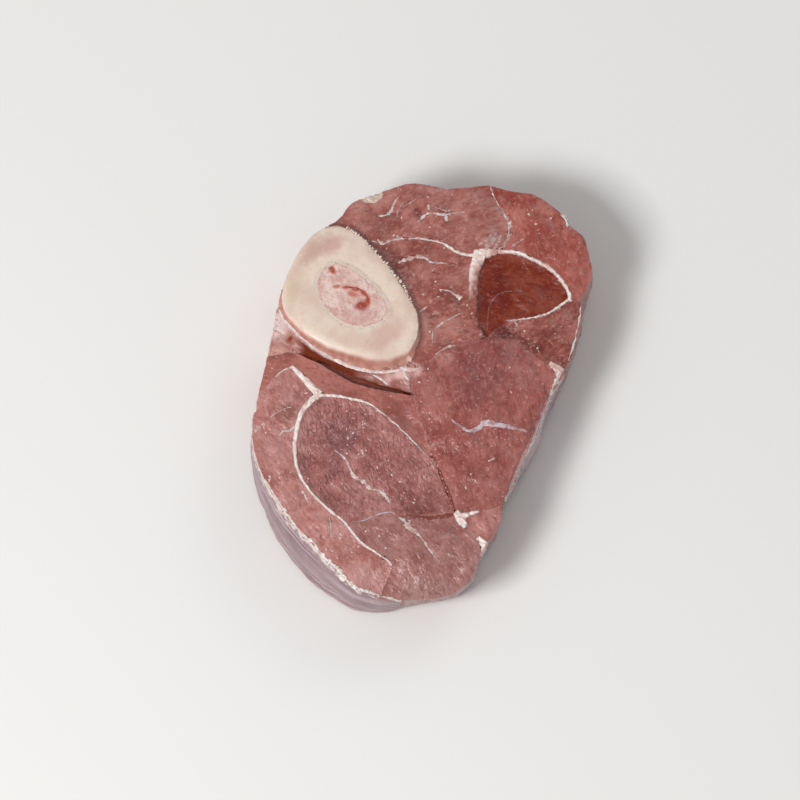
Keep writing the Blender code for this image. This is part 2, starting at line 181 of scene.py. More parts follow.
def new_tree(name, sizes):
    """An empty Geometry Nodes tree with a named input for each size, and those inputs."""
    kinds = {int: "NodeSocketInt", float: "NodeSocketFloat", tuple: "NodeSocketVector"}
    tree = bpy.data.node_groups.new(name, "GeometryNodeTree")
    tree.interface.new_socket("Geometry", in_out="OUTPUT", socket_type="NodeSocketGeometry")
    for kind in ("Geometry", "Material", "Collection"):
        tree.interface.new_socket(kind, in_out="INPUT", socket_type=f"NodeSocket{kind}")
    for label, value in sizes.items():
        entry = tree.interface.new_socket(label, in_out="INPUT", socket_type=kinds[type(value)])
        entry.default_value = value
    return tree, tree.nodes.new("NodeGroupInput").outputs


def end_tree(tree, geometry, given):
    """Closes a tree: real meshes only, smooth but for their crisp rims, in its material."""
    real = add(tree, "GeometryNodeRealizeInstances", {"Geometry": geometry}).outputs[0]
    smooth = add(tree, "GeometryNodeSetShadeSmooth", {"Geometry": real}).outputs[0]
    rims = {"Geometry": smooth, "Selection": rims_of(tree, CRISP_RIM), "Shade Smooth": False}
    crisp = add(tree, "GeometryNodeSetShadeSmooth", rims, domain="EDGE").outputs[0]
    inputs = {"Geometry": crisp, "Material": given["Material"]}
    feed(tree, tree.nodes.new("NodeGroupOutput").inputs[0],
         add(tree, "GeometryNodeSetMaterial", inputs).outputs[0])


def gathered(tree, given):
    """The meshes of the given collection as one."""
    meshes = add(tree, "GeometryNodeCollectionInfo", {"Collection": given["Collection"]}).outputs[0]
    return add(tree, "GeometryNodeRealizeInstances", {"Geometry": meshes}).outputs[0]


def moved(tree, geometry, offset):
    return add(tree, "GeometryNodeSetPosition", {"Geometry": geometry, "Offset": offset}).outputs[0]


def put_at(tree, geometry, place):
    return add(tree, "GeometryNodeSetPosition", {"Geometry": geometry, "Position": place}).outputs[0]


def stored(tree, geometry, name, value):
    inputs = {"Geometry": geometry, "Name": name, "Value": value}
    return add(tree, "GeometryNodeStoreNamedAttribute", inputs, data_type="FLOAT").outputs[0]


def recalled(tree, name):
    return add(tree, "GeometryNodeInputNamedAttribute", {"Name": name}, data_type="FLOAT").outputs[0]


def rims_of(tree, angle):
    """The edges at which two faces meet at more than an angle."""
    bend = add(tree, "GeometryNodeInputMeshEdgeAngle", {}).outputs["Unsigned Angle"]
    return maths(tree, "GREATER_THAN", bend, angle)


def round_the_slice(tree, place):
    """Coordinates that run round the slice and up it."""
    x, y, z = parts(tree, place)
    turn = times(tree, maths(tree, "ARCTAN2", y, x), SLICE_RADIUS)
    return vector(tree, turn, 0.0, z)


def slice_tree(name, runs_round=False):
    """Smooths a CAD solid between its rims, presses it against the neighbours in the collection,
    lets its outline wander and gives its faces relief."""
    tree, given = new_tree(name, {
        "Rounds": SMOOTHING_ROUNDS,
        "Wander": 0.3 * MM,
        "Closes": 0.5 * MM,
        "Stays Open": 0.75 * MM,
        "Overlap": 0.1 * MM,
        "Ragged": 0.0,
        "Lift": 0.0,
        "Lift Reach": 1.4 * MM,
        "Bone Lift": 0.0,
        "Bone Lift Reach": 2.0 * MM,
        "Rim Round": 0.3 * MM,
        "Rim Round Reach": 0.4 * MM,
        "Met Round": 0.3,
        "Calm Rim": 1.0 * MM,
        "Rolls": 0.0,
        "Roll Size": 8.0 * MM,
        "Bundles": 0.0,
        "Bundle Size": 1.6 * MM,
        "Bundle Turn": 0.0,
        "Bundle Stretch": 1.0,
    })
    # Smoothed, with how far each point is from a rim and whether it is on the wall
    solid = add(tree, "GeometryNodeSubdivisionSurface", {
        "Mesh": given["Geometry"],
        "Level": given["Rounds"],
        "Edge Crease": rims_of(tree, SHARP_EDGE),
    }).outputs[0]
    rims = add(tree, "GeometryNodeSeparateGeometry", {
        "Geometry": solid,
        "Selection": rims_of(tree, SHARP_AFTER_SMOOTHING),
    }, domain="EDGE").outputs[0]
    rim = add(tree, "GeometryNodeProximity", {"Geometry": rims}, target_element="EDGES").outputs["Distance"]
    normal = add(tree, "GeometryNodeInputNormal", {}).outputs["Normal"]
    upward = parts(tree, normal)[2]
    wall = between(tree, maths(tree, "ABSOLUTE", upward), 0.75, 0.45)
    solid = stored(tree, solid, "rim", divided(tree, rim, MM))
    solid = stored(tree, solid, "wall", wall)

    # A wall that nearly meets a neighbour closes on it, and its outline wanders and frays.
    place = position(tree)
    beside = gathered(tree, given)
    near = add(tree, "GeometryNodeProximity", {"Geometry": beside}, target_element="FACES").outputs
    met = between(tree, near["Distance"], given["Closes"], given["Stays Open"], 1.0, 0.0)
    towards = vectors(tree, "MULTIPLY", vectors(tree, "SUBTRACT", near["Position"], place), LEVEL)
    gap = size_of(tree, towards)
    press = times(tree, plus(tree, gap, given["Overlap"]), met)
    towards = scaled(tree, vectors(tree, "NORMALIZE", towards), press)
    drift = drifting(tree, place, 6 * MM, given["Wander"])
    outward = vectors(tree, "MULTIPLY", normal, LEVEL)
    ragged = centred(tree, noise(tree, place, 1.2 * MM, 2.0), given["Ragged"])
    push = times(tree, ragged, between(tree, size_of(tree, outward), 0.1, 0.5))
    push = times(tree, push, between(tree, met, 0.0, 1.0, 0.3, 1.0))
    outward = vectors(tree, "ADD", towards, scaled(tree, vectors(tree, "NORMALIZE", outward), push))

    # Bundles of fibre and broad rolls, calm near the rims
    pattern = round_the_slice(tree, place) if runs_round else place
    turned = add(tree, "ShaderNodeVectorRotate", {
        "Vector": pattern,
        "Angle": times(tree, given["Bundle Turn"], -1.0),
    }, rotation_type="Z_AXIS").outputs[0]
    depth_share = 1.0 if runs_round else 0.3
    shares = vector(tree, divided(tree, 1.0, given["Bundle Stretch"]), 1.0, depth_share)
    scale = divided(tree, 1.0, given["Bundle Size"])
    bundle = bumps(tree, vectors(tree, "MULTIPLY", turned, shares), scale)
    bundle = times(tree, minus(tree, 0.5, bundle), given["Bundles"])
    roll_inputs = {"Vector": place, "Scale": divided(tree, 1.0, given["Roll Size"]), "Detail": 3.0}
    roll = centred(tree, add(tree, "ShaderNodeTexNoise", roll_inputs).outputs["Fac"], given["Rolls"])
    roll = times(tree, roll, between(tree, rim, 0.0, 3 * MM, 0.15, 1.0))
    bundle = times(tree, bundle, between(tree, rim, 0.0, given["Calm Rim"], 0.3, 1.0))
    relief = plus(tree, roll, bundle)

    # A rim is rounded off where it stands free, and rises where it meets a neighbour or the bone.
    rounding = times(tree, fading(tree, rim, given["Rim Round Reach"]), given["Rim Round"])
    rounding = times(tree, rounding, between(tree, met, 0.0, 1.0, 1.0, given["Met Round"]))
    relief = scaled(tree, normal, minus(tree, relief, rounding))
    lift = times(tree, fading(tree, near["Distance"], given["Lift Reach"]), given["Lift"])
    inputs = {"Mesh": beside, "Value": recalled(tree, "of bone"), "Sample Position": place}
    by_bone = add(tree, "GeometryNodeSampleNearestSurface", inputs, data_type="FLOAT").outputs["Value"]
    climb = times(tree, fading(tree, near["Distance"], given["Bone Lift Reach"]), given["Bone Lift"])
    bone_near = times(tree, fading(tree, near["Distance"], 2 * MM), by_bone)
    solid = stored(tree, solid, "bone near", bone_near)
    lift = plus(tree, lift, times(tree, climb, by_bone))
    lift = vector(tree, z=times(tree, lift, between(tree, upward, 0.2, 0.6)))
    offset = vectors(tree, "ADD", vectors(tree, "ADD", drift, outward), vectors(tree, "ADD", relief, lift))
    solid = moved(tree, solid, offset)

    # The side that the slice lies on stays flat.
    x, y, z = parts(tree, place)
    flat = vector(tree, x, y, maths(tree, "MAXIMUM", z, 0.0))
    end_tree(tree, put_at(tree, solid, flat), given)
    return tree


def plain_solid(node):
    """The corners and faces of a CAD solid, with the corners that its triangles share merged."""
    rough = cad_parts[node].data
    corners = np.zeros(len(rough.vertices) * 3)
    rough.vertices.foreach_get("co", corners)
    used, merged = np.unique(corners.reshape(-1, 3).round(7), axis=0, return_inverse=True)
    merged = merged.ravel()
    return used.tolist(), [[int(merged[i]) for i in polygon.vertices] for polygon in rough.polygons]


def mesh_of(name, nodes):
    """A mesh made of the plain solids of some nodes, with the bone's corners marked."""
    corners, faces, of_bone = [], [], []
    for node in nodes:
        its_corners, its_faces = plain_solids[node]
        faces += [[i + len(corners) for i in face] for face in its_faces]
        corners += its_corners
        of_bone += [float(node == "bone")] * len(its_corners)
    mesh = bpy.data.meshes.new(name)
    mesh.from_pydata(corners, [], faces)
    mesh.attributes.new("of bone", "FLOAT", "POINT").data.foreach_set("value", of_bone)
    return mesh


def placed(name, data):
    """A new object in the scene."""
    made = bpy.data.objects.new(name, data)
    bpy.context.scene.collection.objects.link(made)
    return made


def settled(piece, tree, material, sizes):
    """Runs a tree on an object and keeps what it makes as a plain mesh object of the same name."""
    modifier = piece.modifiers.new(tree.name, "NODES")
    modifier.node_group = tree
    values = {**sizes, "Material": material}
    for entry in tree.interface.items_tree:
        if entry.in_out == "INPUT" and entry.name in values:
            modifier[entry.identifier] = values[entry.name]
    mesh = bpy.data.meshes.new_from_object(piece.evaluated_get(bpy.context.evaluated_depsgraph_get()))
    name = piece.name
    bpy.data.objects.remove(piece)
    mesh.name = name
    return placed(name, mesh)


plain_solids = {node: plain_solid(node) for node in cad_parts}
dressed_pieces = []


def dress(name, node, tree, material, sizes):
    """Makes the finished piece for one CAD node."""
    piece = placed(name, mesh_of(name, [node]))
    neighbours = [other for other in plain_solids if other != node]
    others = bpy.data.objects.new("others", mesh_of("others", neighbours))
    beside = bpy.data.collections.new("beside")
    beside.objects.link(others)
    piece = settled(piece, tree, material, {**sizes, "Collection": beside})
    bpy.data.objects.remove(others)
    bpy.data.collections.remove(beside)
    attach(piece, "root")
    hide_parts(node)
    dressed_pieces.append(piece)


def mixed(tree, share, first, second):
    """The first colour with a share of the second."""
    inputs = {0: share, 6: first, 7: second}
    return add(tree, "ShaderNodeMix", inputs, data_type="RGBA", blend_type="MIX").outputs[2]


def tinted(tree, colour, share, tone):
    """A colour with a share of a tone, given as a screen shows it."""
    return mixed(tree, share, colour, under_gloss(*tone))


def two_tone(tree, value, low, high, first, second):
    """A colour that goes from one tone to another as a value goes from low to high."""
    return mixed(tree, between(tree, value, low, high), under_gloss(*first), under_gloss(*second))


def stained(tree, colour, place, stains, height=FACE_HEIGHT):
    """Lays soft blotches over a colour: each one's pixel, half width and half height in pixels,
    turn in degrees, colour and strength."""
    ragged = centred(tree, noise(tree, place, 3 * MM, 3.0), 0.22)
    for u, v, wide, high, turn, tone, strength in stains:
        spot = add(tree, "ShaderNodeMapping", {
            "Vector": place,
            "Location": (*on_face(u, v, height), 0),
            "Rotation": (0, 0, math.radians(turn)),
            "Scale": (wide * PIXEL, high * PIXEL, 1),
        }, vector_type="TEXTURE").outputs[0]
        away = size_of(tree, spot)
        share = between(tree, plus(tree, away, ragged), 1.3, 0.3, 0.0, strength)
        colour = tinted(tree, colour, share, tone)
    return colour


def turned_place(tree, place, turn, stretch, depth=3.0):
    """Coordinates in which a pattern runs long in one direction of the cut face."""
    inputs = {"Vector": place, "Rotation": (0, 0, math.radians(turn)), "Scale": (stretch, 1, depth)}
    return add(tree, "ShaderNodeMapping", inputs, vector_type="TEXTURE").outputs[0]


def new_material(name):
    """A material with its nodes, its shader and its place on the object."""
    material = bpy.data.materials.new(name)
    material.use_nodes = True
    tree = material.node_tree
    place = add(tree, "ShaderNodeTexCoord", {}).outputs["Object"]
    return material, tree, tree.nodes["Principled BSDF"], place


def under_gloss(red, green, blue):
    """A colour that looks as given once the moist gloss over it has added its own white."""
    return (*(max(c - GLOSS_ADDS, 0.004) for c in paint(red, green, blue)[:3]), 1)


def attribute(tree, name):
    return add(tree, "ShaderNodeAttribute", {}, attribute_name=name).outputs["Fac"]


def finish_shader(tree, shader, colour, height, depth, roughness, wet, soft, shine=0.5):
    """Sets a moist, slightly translucent finish: colour, bump, gloss and light under the surface."""
    bump = add(tree, "ShaderNodeBump", {"Height": height, "Distance": depth, "Strength": 1.0}).outputs[0]
    feed(tree, shader.inputs["Base Color"], colour)
    feed(tree, shader.inputs["Normal"], bump)
    feed(tree, shader.inputs["Roughness"], roughness)
    shader.inputs["Specular IOR Level"].default_value = shine
    shader.inputs["Coat Weight"].default_value = wet
    shader.inputs["Coat Roughness"].default_value = 0.22
    shader.inputs["Subsurface Weight"].default_value = soft
    shader.inputs["Subsurface Radius"].default_value = (1.0, 0.4, 0.25)
    shader.inputs["Subsurface Scale"].default_value = 1.6 * MM


# What the gloss adds to every colour, the colours of what lies on the meat, and the painted shade in its
# wrinkles and where it drops to the bone
GLOSS_ADDS = 0.026
FILM = (176, 140, 138)
NET = (210, 168, 160)
FLECK_AND_GLINT = (226, 190, 182)
WRINKLE_SHADE = (112, 64, 62)
SHADE_BY_BONE = (112, 58, 48)


def lean(tree, place, turn, base, deep, pale, rippled=0.3, net=0.2, wrinkled=0.0, flecks=0.3, stains=()):
    """The colour of cut lean meat and the height of its surface. It is pebbled with the ends of
    bundles, paler on their tops and deeper between them, partly its own tone and partly painted
    light and shade, and rippled one way, with threads of pale film between them, pale specks that
    are partly fat and partly painted glints, and fine wrinkles darkened with painted shade."""
    base, deep, pale = (under_gloss(*tone) for tone in (base, deep, pale))
    broad = noise(tree, place, 9 * MM, 2.0)
    colour = mixed(tree, between(tree, broad, 0.5, 0.34, 0.0, 0.8), base, deep)
    colour = mixed(tree, between(tree, broad, 0.5, 0.66, 0.0, 0.7), colour, pale)
    colour = stained(tree, colour, place, stains)

    # Tone: patches, pebbles and ripples that run along the bundles. The surface stands higher where the tone
    # is paler, so this is partly the meat's own mottling and partly painted light on the tops and painted
    # shade in the dips.
    grain = turned_place(tree, place, turn, 1.4)
    patches = noise(tree, grain, 3.0 * MM, 3.0)
    pebbles = noise(tree, grain, 1.2 * MM, 2.0)
    wavy = swing(tree, place, 2.2 * MM, 1.0)
    wavy = vectors(tree, "ADD", place, scaled(tree, wavy, 3.2 * MM))
    ripples = noise(tree, turned_place(tree, wavy, turn, 3.0), 0.9 * MM, 1.5)
    tone = times(tree, patches, 0.45 - rippled / 2)
    tone = plus(tree, tone, times(tree, pebbles, 0.55 - rippled / 2))
    tone = plus(tree, tone, times(tree, ripples, rippled))
    colour = mixed(tree, between(tree, tone, 0.52, 0.3, 0.0, 0.95), colour, deep)
    colour = mixed(tree, between(tree, tone, 0.48, 0.7, 0.0, 0.95), colour, pale)

    # Pale film between the bundles, and pale specks: partly specks of fat, partly painted glints
    where = between(tree, noise(tree, place, 5 * MM, 1.0), 0.46, 0.6)
    film = ridged(tree, noise(tree, grain, 2.6 * MM, 1.5), 0.04)
    film = times(tree, film, times(tree, where, net))
    colour = tinted(tree, colour, film, NET)
    specks_and_glints = noise(tree, place, 0.85 * MM, 0.0)
    colour = tinted(tree, colour, between(tree, specks_and_glints, 0.7, 0.8, 0.0, flecks), FLECK_AND_GLINT)

    # Fine wrinkles, sunk in the bump and darkened with painted shade
    wrinkles = ridged(tree, noise(tree, turned_place(tree, place, turn, 2.5), 2.0 * MM, 1.5), 0.06)
    where = between(tree, noise(tree, place, 6 * MM, 1.0), 0.36, 0.6, 0.3, 1.0)
    wrinkles = times(tree, wrinkles, times(tree, where, wrinkled))
    colour = tinted(tree, colour, wrinkles, WRINKLE_SHADE)

    height = plus(tree, times(tree, pebbles, 0.6), times(tree, patches, 1.2))
    height = plus(tree, height, times(tree, ripples, 2 * rippled))
    return colour, minus(tree, height, times(tree, wrinkles, 0.5))


def ridged(tree, value, width):
    """Thin wandering lines, where a noise passes its middle."""
    away = maths(tree, "ABSOLUTE", minus(tree, value, 0.5))
    return between(tree, away, width, 0.0)


def flesh(name, turn=0, moist=0.2, shine=0.5, relief=0.4 * MM, **look):
    """Lean meat whose bundles run at an angle over the cut face, with painted shade where it drops to the
    bone.
    """
    material, tree, shader, place = new_material(name)
    colour, height = lean(tree, place, turn, **look)
    # Painted shade where the meat drops to the bone
    bone_shade = between(tree, attribute(tree, "bone near"), 0.25, 0.8, 0.0, 0.7)
    colour = tinted(tree, colour, bone_shade, SHADE_BY_BONE)
    film = noise(tree, turned_place(tree, place, 0, 1, 14.0), 0.8 * MM, 3.0)
    film = between(tree, film, 0.3, 0.7, 0.25, 0.7)
    colour = tinted(tree, colour, times(tree, attribute(tree, "wall"), film), FILM)
    roughness = between(tree, noise(tree, place, 2 * MM, 3.0), 0.35, 0.65, 0.3, 0.46)
    finish_shader(tree, shader, colour, height, relief, roughness, moist, 0.2, shine)
    return material


# Each muscle's colours, how its bundles run, and where its face is darker or paler. Some darker
# stains are painted shade in folds and creases and beside raised edges, as noted at each.
MUSCLES = {
    "upper": dict(
        base=(164, 102, 93), deep=(140, 78, 70), pale=(186, 130, 121),
        turn=25, moist=0.3, rippled=0.15,
        stains=[
            # The first stain below is painted shade in a fold.
            (418, 214, 5, 10, 30, (106, 52, 44), 0.9), (382, 226, 13, 12, 0, (140, 90, 83), 0.8),
            (475, 224, 15, 12, 0, (178, 120, 112), 0.7),
            (505, 213, 16, 12, -20, (178, 126, 117), 0.7),
            (360, 215, 14, 12, 30, (178, 118, 109), 0.6), (494, 238, 11, 12, -20, (184, 134, 124), 0.8),
            (440, 240, 26, 10, 0, (148, 90, 83), 0.8), (408, 212, 4, 14, -35, (184, 124, 114), 0.7),
            (436, 200, 5, 9, -30, (182, 122, 112), 0.6), (357, 207, 9, 8, 0, (196, 142, 134), 0.7),
        ]),
    "bright": dict(
        base=(166, 90, 80), deep=(142, 66, 56), pale=(186, 118, 108),
        turn=-75, moist=0.3, rippled=0.3, net=0.1,
        stains=[
            (540, 238, 24, 24, 0, (150, 78, 68), 0.7), (545, 208, 14, 8, -20, (184, 120, 110), 0.7),
            (578, 290, 7, 26, 10, (170, 104, 94), 0.5),
        ]),
    "inner": dict(
        base=(160, 96, 87), deep=(134, 72, 64), pale=(184, 126, 116),
        turn=15, moist=0.3, relief=0.5 * MM, rippled=0.2,
        stains=[
            # The first stain below is painted shadow cast by the bone.
            (396, 262, 16, 30, 40, (116, 64, 56), 0.8), (440, 330, 22, 16, 20, (186, 130, 121), 0.7),
            (421, 323, 12, 12, 0, (192, 142, 130), 0.8), (466, 316, 8, 22, 0, (154, 90, 80), 0.6),
        ]),
    "dark": dict(
        base=(128, 62, 49), deep=(114, 51, 39), pale=(148, 82, 69),
        turn=-8, moist=0.0, shine=0.3, relief=0.35 * MM, rippled=0.2, net=0.0, flecks=0.1,
        stains=[
            # The first stain on each of the next two lines is painted shadow: cast by the raised wall on the
            # sunken muscle's left, and beside the centre muscle's raised edge.
            (498, 290, 14, 30, 0, (112, 54, 44), 1.0), (545, 300, 20, 16, -30, (150, 86, 74), 0.7),
            (508, 332, 22, 10, -10, (104, 50, 44), 1.0), (486, 330, 6, 10, 0, (122, 66, 56), 0.7),
        ]),
    "side": dict(
        base=(150, 87, 78), deep=(124, 61, 52), pale=(176, 116, 107),
        turn=30, rippled=0.2, net=0.25, wrinkled=0.3,
        stains=[
            # The second stain on this line and the first on the next are painted shadow beside the centre
            # muscle's raised edge.
            (556, 330, 16, 10, 20, (134, 72, 64), 0.6), (528, 342, 26, 5, -32, (102, 52, 45), 0.8),
            (506, 331, 15, 9, -10, (98, 44, 38), 1.0), (530, 370, 12, 8, 0, (166, 102, 94), 0.5),
        ]),
    "centre": dict(
        base=(156, 90, 83), deep=(134, 70, 64), pale=(178, 114, 106),
        turn=98, moist=0.3, relief=0.5 * MM, rippled=0.3, net=0.1,
        stains=[
            (478, 385, 26, 24, 80, (138, 82, 80), 0.8), (446, 359, 15, 8, -20, (192, 134, 127), 0.9),
            (484, 372, 34, 28, -10, (140, 82, 80), 0.7), (536, 396, 12, 34, -22, (170, 104, 95), 0.6),
            (415, 371, 9, 8, 0, (232, 192, 186), 1.0), (430, 395, 15, 30, 10, (176, 118, 111), 0.7),
            (480, 495, 30, 26, 0, (164, 106, 99), 0.5), (446, 500, 12, 20, 10, (178, 124, 118), 0.6),
            (535, 400, 12, 22, -20, (162, 94, 87), 0.7), (540, 362, 8, 18, 45, (178, 112, 104), 0.5),
            # The next two lines of stains are painted shade in the crack.
            (434, 460, 2.5, 8, 20, (120, 56, 46), 0.9), (441, 476, 2.5, 9, 22, (120, 56, 46), 0.9),
            (448, 494, 2.5, 10, 15, (120, 56, 46), 0.9), (431, 452, 4, 2.5, 0, (120, 56, 46), 0.9),
        ]),
    "band": dict(
        base=(168, 104, 95), deep=(144, 82, 73), pale=(184, 120, 110),
        turn=-24, rippled=0.3, net=0.1, flecks=0.1,
        stains=[
            (312, 362, 22, 10, -20, (192, 126, 115), 0.7), (392, 408, 18, 12, -40, (138, 80, 72), 0.8),
            (350, 384, 14, 8, -30, (176, 112, 104), 0.6),
            (412, 425, 5, 30, 18, (166, 112, 108), 0.7),
        ]),
    "oval": dict(
        base=(166, 107, 101), deep=(140, 84, 80), pale=(190, 134, 128),
        turn=108, moist=0.3, relief=0.6 * MM, rippled=0.35, net=0.3, wrinkled=0.45,
        stains=[
            (340, 436, 22, 22, -40, (134, 88, 91), 0.9), (331, 451, 11, 20, 10, (140, 92, 94), 0.6),
            (335, 404, 16, 6, 20, (182, 116, 109), 0.6), (380, 452, 18, 28, 50, (162, 98, 92), 0.8),
            (310, 420, 5, 22, -25, (192, 140, 134), 0.7), (372, 492, 20, 7, -30, (188, 140, 134), 0.6),
            (342, 405, 22, 8, 20, (172, 108, 101), 0.6),
            (400, 450, 14, 22, 50, (172, 112, 106), 0.6), (365, 505, 26, 16, -30, (176, 126, 121), 0.6),
            (318, 430, 8, 26, 0, (176, 120, 114), 0.6), (388, 470, 14, 12, 0, (140, 84, 80), 0.5),
            # The last stain is painted shade in the crease below the oval.
            (420, 509, 28, 5, 0, (124, 70, 64), 0.9),
        ]),
    "outer": dict(
        base=(184, 126, 119), deep=(160, 100, 92), pale=(202, 150, 144),
        turn=-60, moist=0.3, relief=0.6 * MM, rippled=0.25, net=0.35,
        stains=[
            (288, 412, 12, 14, 0, (138, 88, 78), 0.9), (300, 500, 12, 20, -30, (168, 112, 105), 0.6),
            (272, 450, 12, 26, 0, (188, 138, 134), 0.6),
            (370, 575, 26, 12, -20, (198, 154, 149), 0.7), (278, 375, 12, 14, 0, (182, 126, 119), 0.6),
            (300, 395, 8, 8, 0, (152, 96, 90), 0.5),
        ]),
    "lower": dict(
        base=(164, 112, 106), deep=(142, 90, 84), pale=(184, 136, 130),
        turn=-48, moist=0.3, rippled=0.35, net=0.2, wrinkled=0.25,
        stains=[
            (425, 520, 22, 10, -30, (148, 96, 92), 0.7), (425, 588, 34, 14, 10, (168, 130, 125), 0.8),
            (458, 556, 18, 20, 0, (160, 110, 105), 0.7),
            (390, 545, 16, 18, -30, (174, 128, 123), 0.5), (480, 560, 12, 22, -20, (172, 130, 126), 0.6),
            (388, 570, 10, 10, 0, (150, 88, 80), 0.6), (464, 525, 6, 12, -40, (152, 86, 78), 0.6),
            # The last stain is painted shade in the crease above the lower muscle.
            (420, 514, 30, 5, 0, (116, 64, 58), 0.9),
        ]),
    "sliver": dict(
        base=(174, 114, 108), deep=(150, 86, 79), pale=(192, 138, 131),
        turn=-60, net=0.2),
}

# How far each muscle's rim climbs to its neighbours, in mm, where the others' climb is 0.4
RIM_RISES = {"dark": 1.9, "oval": 0.9, "side": 0.9, "band": 0.7, "lower": 0.6, "sliver": 0.6}

FLESH_TREE = slice_tree("cut flesh")
for name, look in MUSCLES.items():
    dress(f"flesh_{name}", f"muscle_{name}", FLESH_TREE, flesh(f"flesh {name}", **look), {
        "Overlap": 0.2 * MM,
        "Ragged": 0.2 * MM,
        "Lift": RIM_RISES.get(name, 0.4) * MM,
        "Bone Lift": 1.2 * MM,
        "Rim Round": 0.1 * MM,
        "Rolls": 0.8 * MM,
        "Roll Size": 7 * MM,
        "Bundles": 0.35 * MM,
        "Bundle Size": 2.2 * MM,
        "Bundle Turn": math.radians(look["turn"]),
        "Bundle Stretch": 1.5,
    })


# Fat seams
# White fat in the seams between the muscles, beaded, and pinkish along its edges, where the meat
# stains it. Four thicker spots lie where seams meet or reach the rim.
def fat(name, smeared=0.5, stains=()):
    """Firm white fat in small lumps, with lean meat smeared over its edges."""
    material, tree, shader, place = new_material(name)
    broad = noise(tree, place, 5 * MM, 3.0)
    colour = two_tone(tree, broad, 0.35, 0.65, (246, 232, 225), (232, 208, 199))
    lumps = bumps(tree, place, 1 / (1.2 * MM))
    colour = tinted(tree, colour, between(tree, lumps, 0.5, 0.85, 0.0, 0.3), (228, 196, 188))
    smear = plus(tree, attribute(tree, "rim"), centred(tree, noise(tree, place, 1.5 * MM, 2.0), 0.3))
    smear = between(tree, smear, 0.15, 0.45, smeared, 0.0)
    colour = tinted(tree, colour, smear, (206, 156, 146))
    colour = stained(tree, colour, place, stains)
    film = noise(tree, turned_place(tree, place, 0, 1, 8.0), 1.6 * MM, 3.0)
    film = times(tree, attribute(tree, "wall"), between(tree, film, 0.35, 0.6, 0.2, 0.85))
    colour = tinted(tree, colour, film, FILM)
    fine = noise(tree, place, 0.5 * MM, 2.0)
    height = minus(tree, times(tree, fine, 0.2), lumps)
    roughness = between(tree, fine, 0.3, 0.7, 0.36, 0.5)
    finish_shader(tree, shader, colour, height, 0.4 * MM, roughness, wet=0.15, soft=0.3)
    return material


UPPER_FAT = fat("upper seam fat", stains=[
    (481.5, 286, 10, 30, 2, (158, 94, 82), 1.0), (475, 318, 18, 44, 4, (154, 90, 79), 1.0),
    (540, 322, 26, 6, 12, (222, 186, 188), 0.7), (505, 322, 12, 8, 0, (196, 150, 160), 0.8),
    (384, 240, 9, 8, 0, (160, 104, 96), 1.0), (407, 236, 3, 5, 0, (160, 104, 96), 1.0),
    (501, 237, 9, 12, -20, (184, 132, 123), 1.0), (497, 252, 7, 5, 0, (190, 134, 126), 0.9),
])
LOWER_FAT = fat("lower seam fat", stains=[
    (425, 455, 14, 8, -50, (178, 128, 120), 0.8), (278, 382, 10, 7, 30, (206, 160, 152), 0.6),
])
SPOT_FAT = fat("fat spots", stains=[(555, 371, 9, 14, 0, (214, 170, 162), 0.9)])
TOP_FAT = fat("thin fat", stains=[(371, 198, 26, 20, 0, (208, 182, 166), 0.9)])
FAT_TREE = slice_tree("cut fat")
FAT_PIECES = {
    "fat_seam_upper": UPPER_FAT,
    "fat_seam_lower": LOWER_FAT,
    "fat_spot_edge": SPOT_FAT,
    "fat_spot_lower": SPOT_FAT,
    "fat_spot_right": SPOT_FAT,
    "fat_spot_top": TOP_FAT,
}
for node, material in FAT_PIECES.items():
    dress(f"{node}_beads", node, FAT_TREE, material, {
        "Rounds": 3 if "seam" in node else 4,
        "Overlap": -0.3 * MM,
        "Ragged": 0.12 * MM,
        "Lift": 0.1 * MM,
        "Rim Round": 0.5 * MM,
        "Rim Round Reach": 0.35 * MM,
        "Met Round": 1.0,
        "Calm Rim": 0.1 * MM,
        "Rolls": 0.2 * MM,
        "Roll Size": 2.2 * MM,
        "Bundles": 1.0 * MM,
        "Bundle Size": 1.2 * MM,
    })


# Silverskin
# The tough pearly membrane round the meat, about 1 mm thick, with long fibres that run round the
# slice. The saw has smeared lean meat over its cut edges.
def pearl(name):
    """Thin, moist membrane: lavender grey, white and ragged towards the cut face."""
    material, tree, shader, place = new_material(name)
    around = round_the_slice(tree, place)
    fibres = add(tree, "ShaderNodeMapping", {
        "Vector": around, "Scale": (30, 1, 1),
    }, vector_type="TEXTURE").outputs[0]
    strands = noise(tree, fibres, 1.1 * MM, 4.0, 0.6)
    broad = noise(tree, around, 12 * MM, 3.0)
    colour = two_tone(tree, broad, 0.35, 0.65, (138, 109, 117), (152, 123, 125))
    colour = tinted(tree, colour, between(tree, strands, 0.48, 0.66, 0.0, 0.75), (204, 180, 184))
    colour = tinted(tree, colour, between(tree, strands, 0.48, 0.32, 0.0, 0.7), (118, 88, 104))
    height = parts(tree, place)[2]
    torn = centred(tree, noise(tree, around, 2.4 * MM, 3.0, 0.6), 3.5 * MM)
    edge = between(tree, plus(tree, height, torn), 21.5 * MM, 24.5 * MM, 0.0, 0.9)
    colour = tinted(tree, colour, edge, (224, 206, 203))
    colour = stained(tree, colour, place, [
        (534, 430, 13, 46, -22, (204, 180, 186), 0.8), (510, 486, 10, 26, -22, (204, 180, 184), 0.8),
    ])
    meat, _ = lean(tree, place, 0, **SMEARED)
    colour = mixed(tree, attribute(tree, "wall"), meat, colour)
    roughness = between(tree, strands, 0.3, 0.7, 0.34, 0.46)
    finish_shader(tree, shader, colour, strands, 0.25 * MM, roughness, wet=0.25, soft=0.25)
    return material


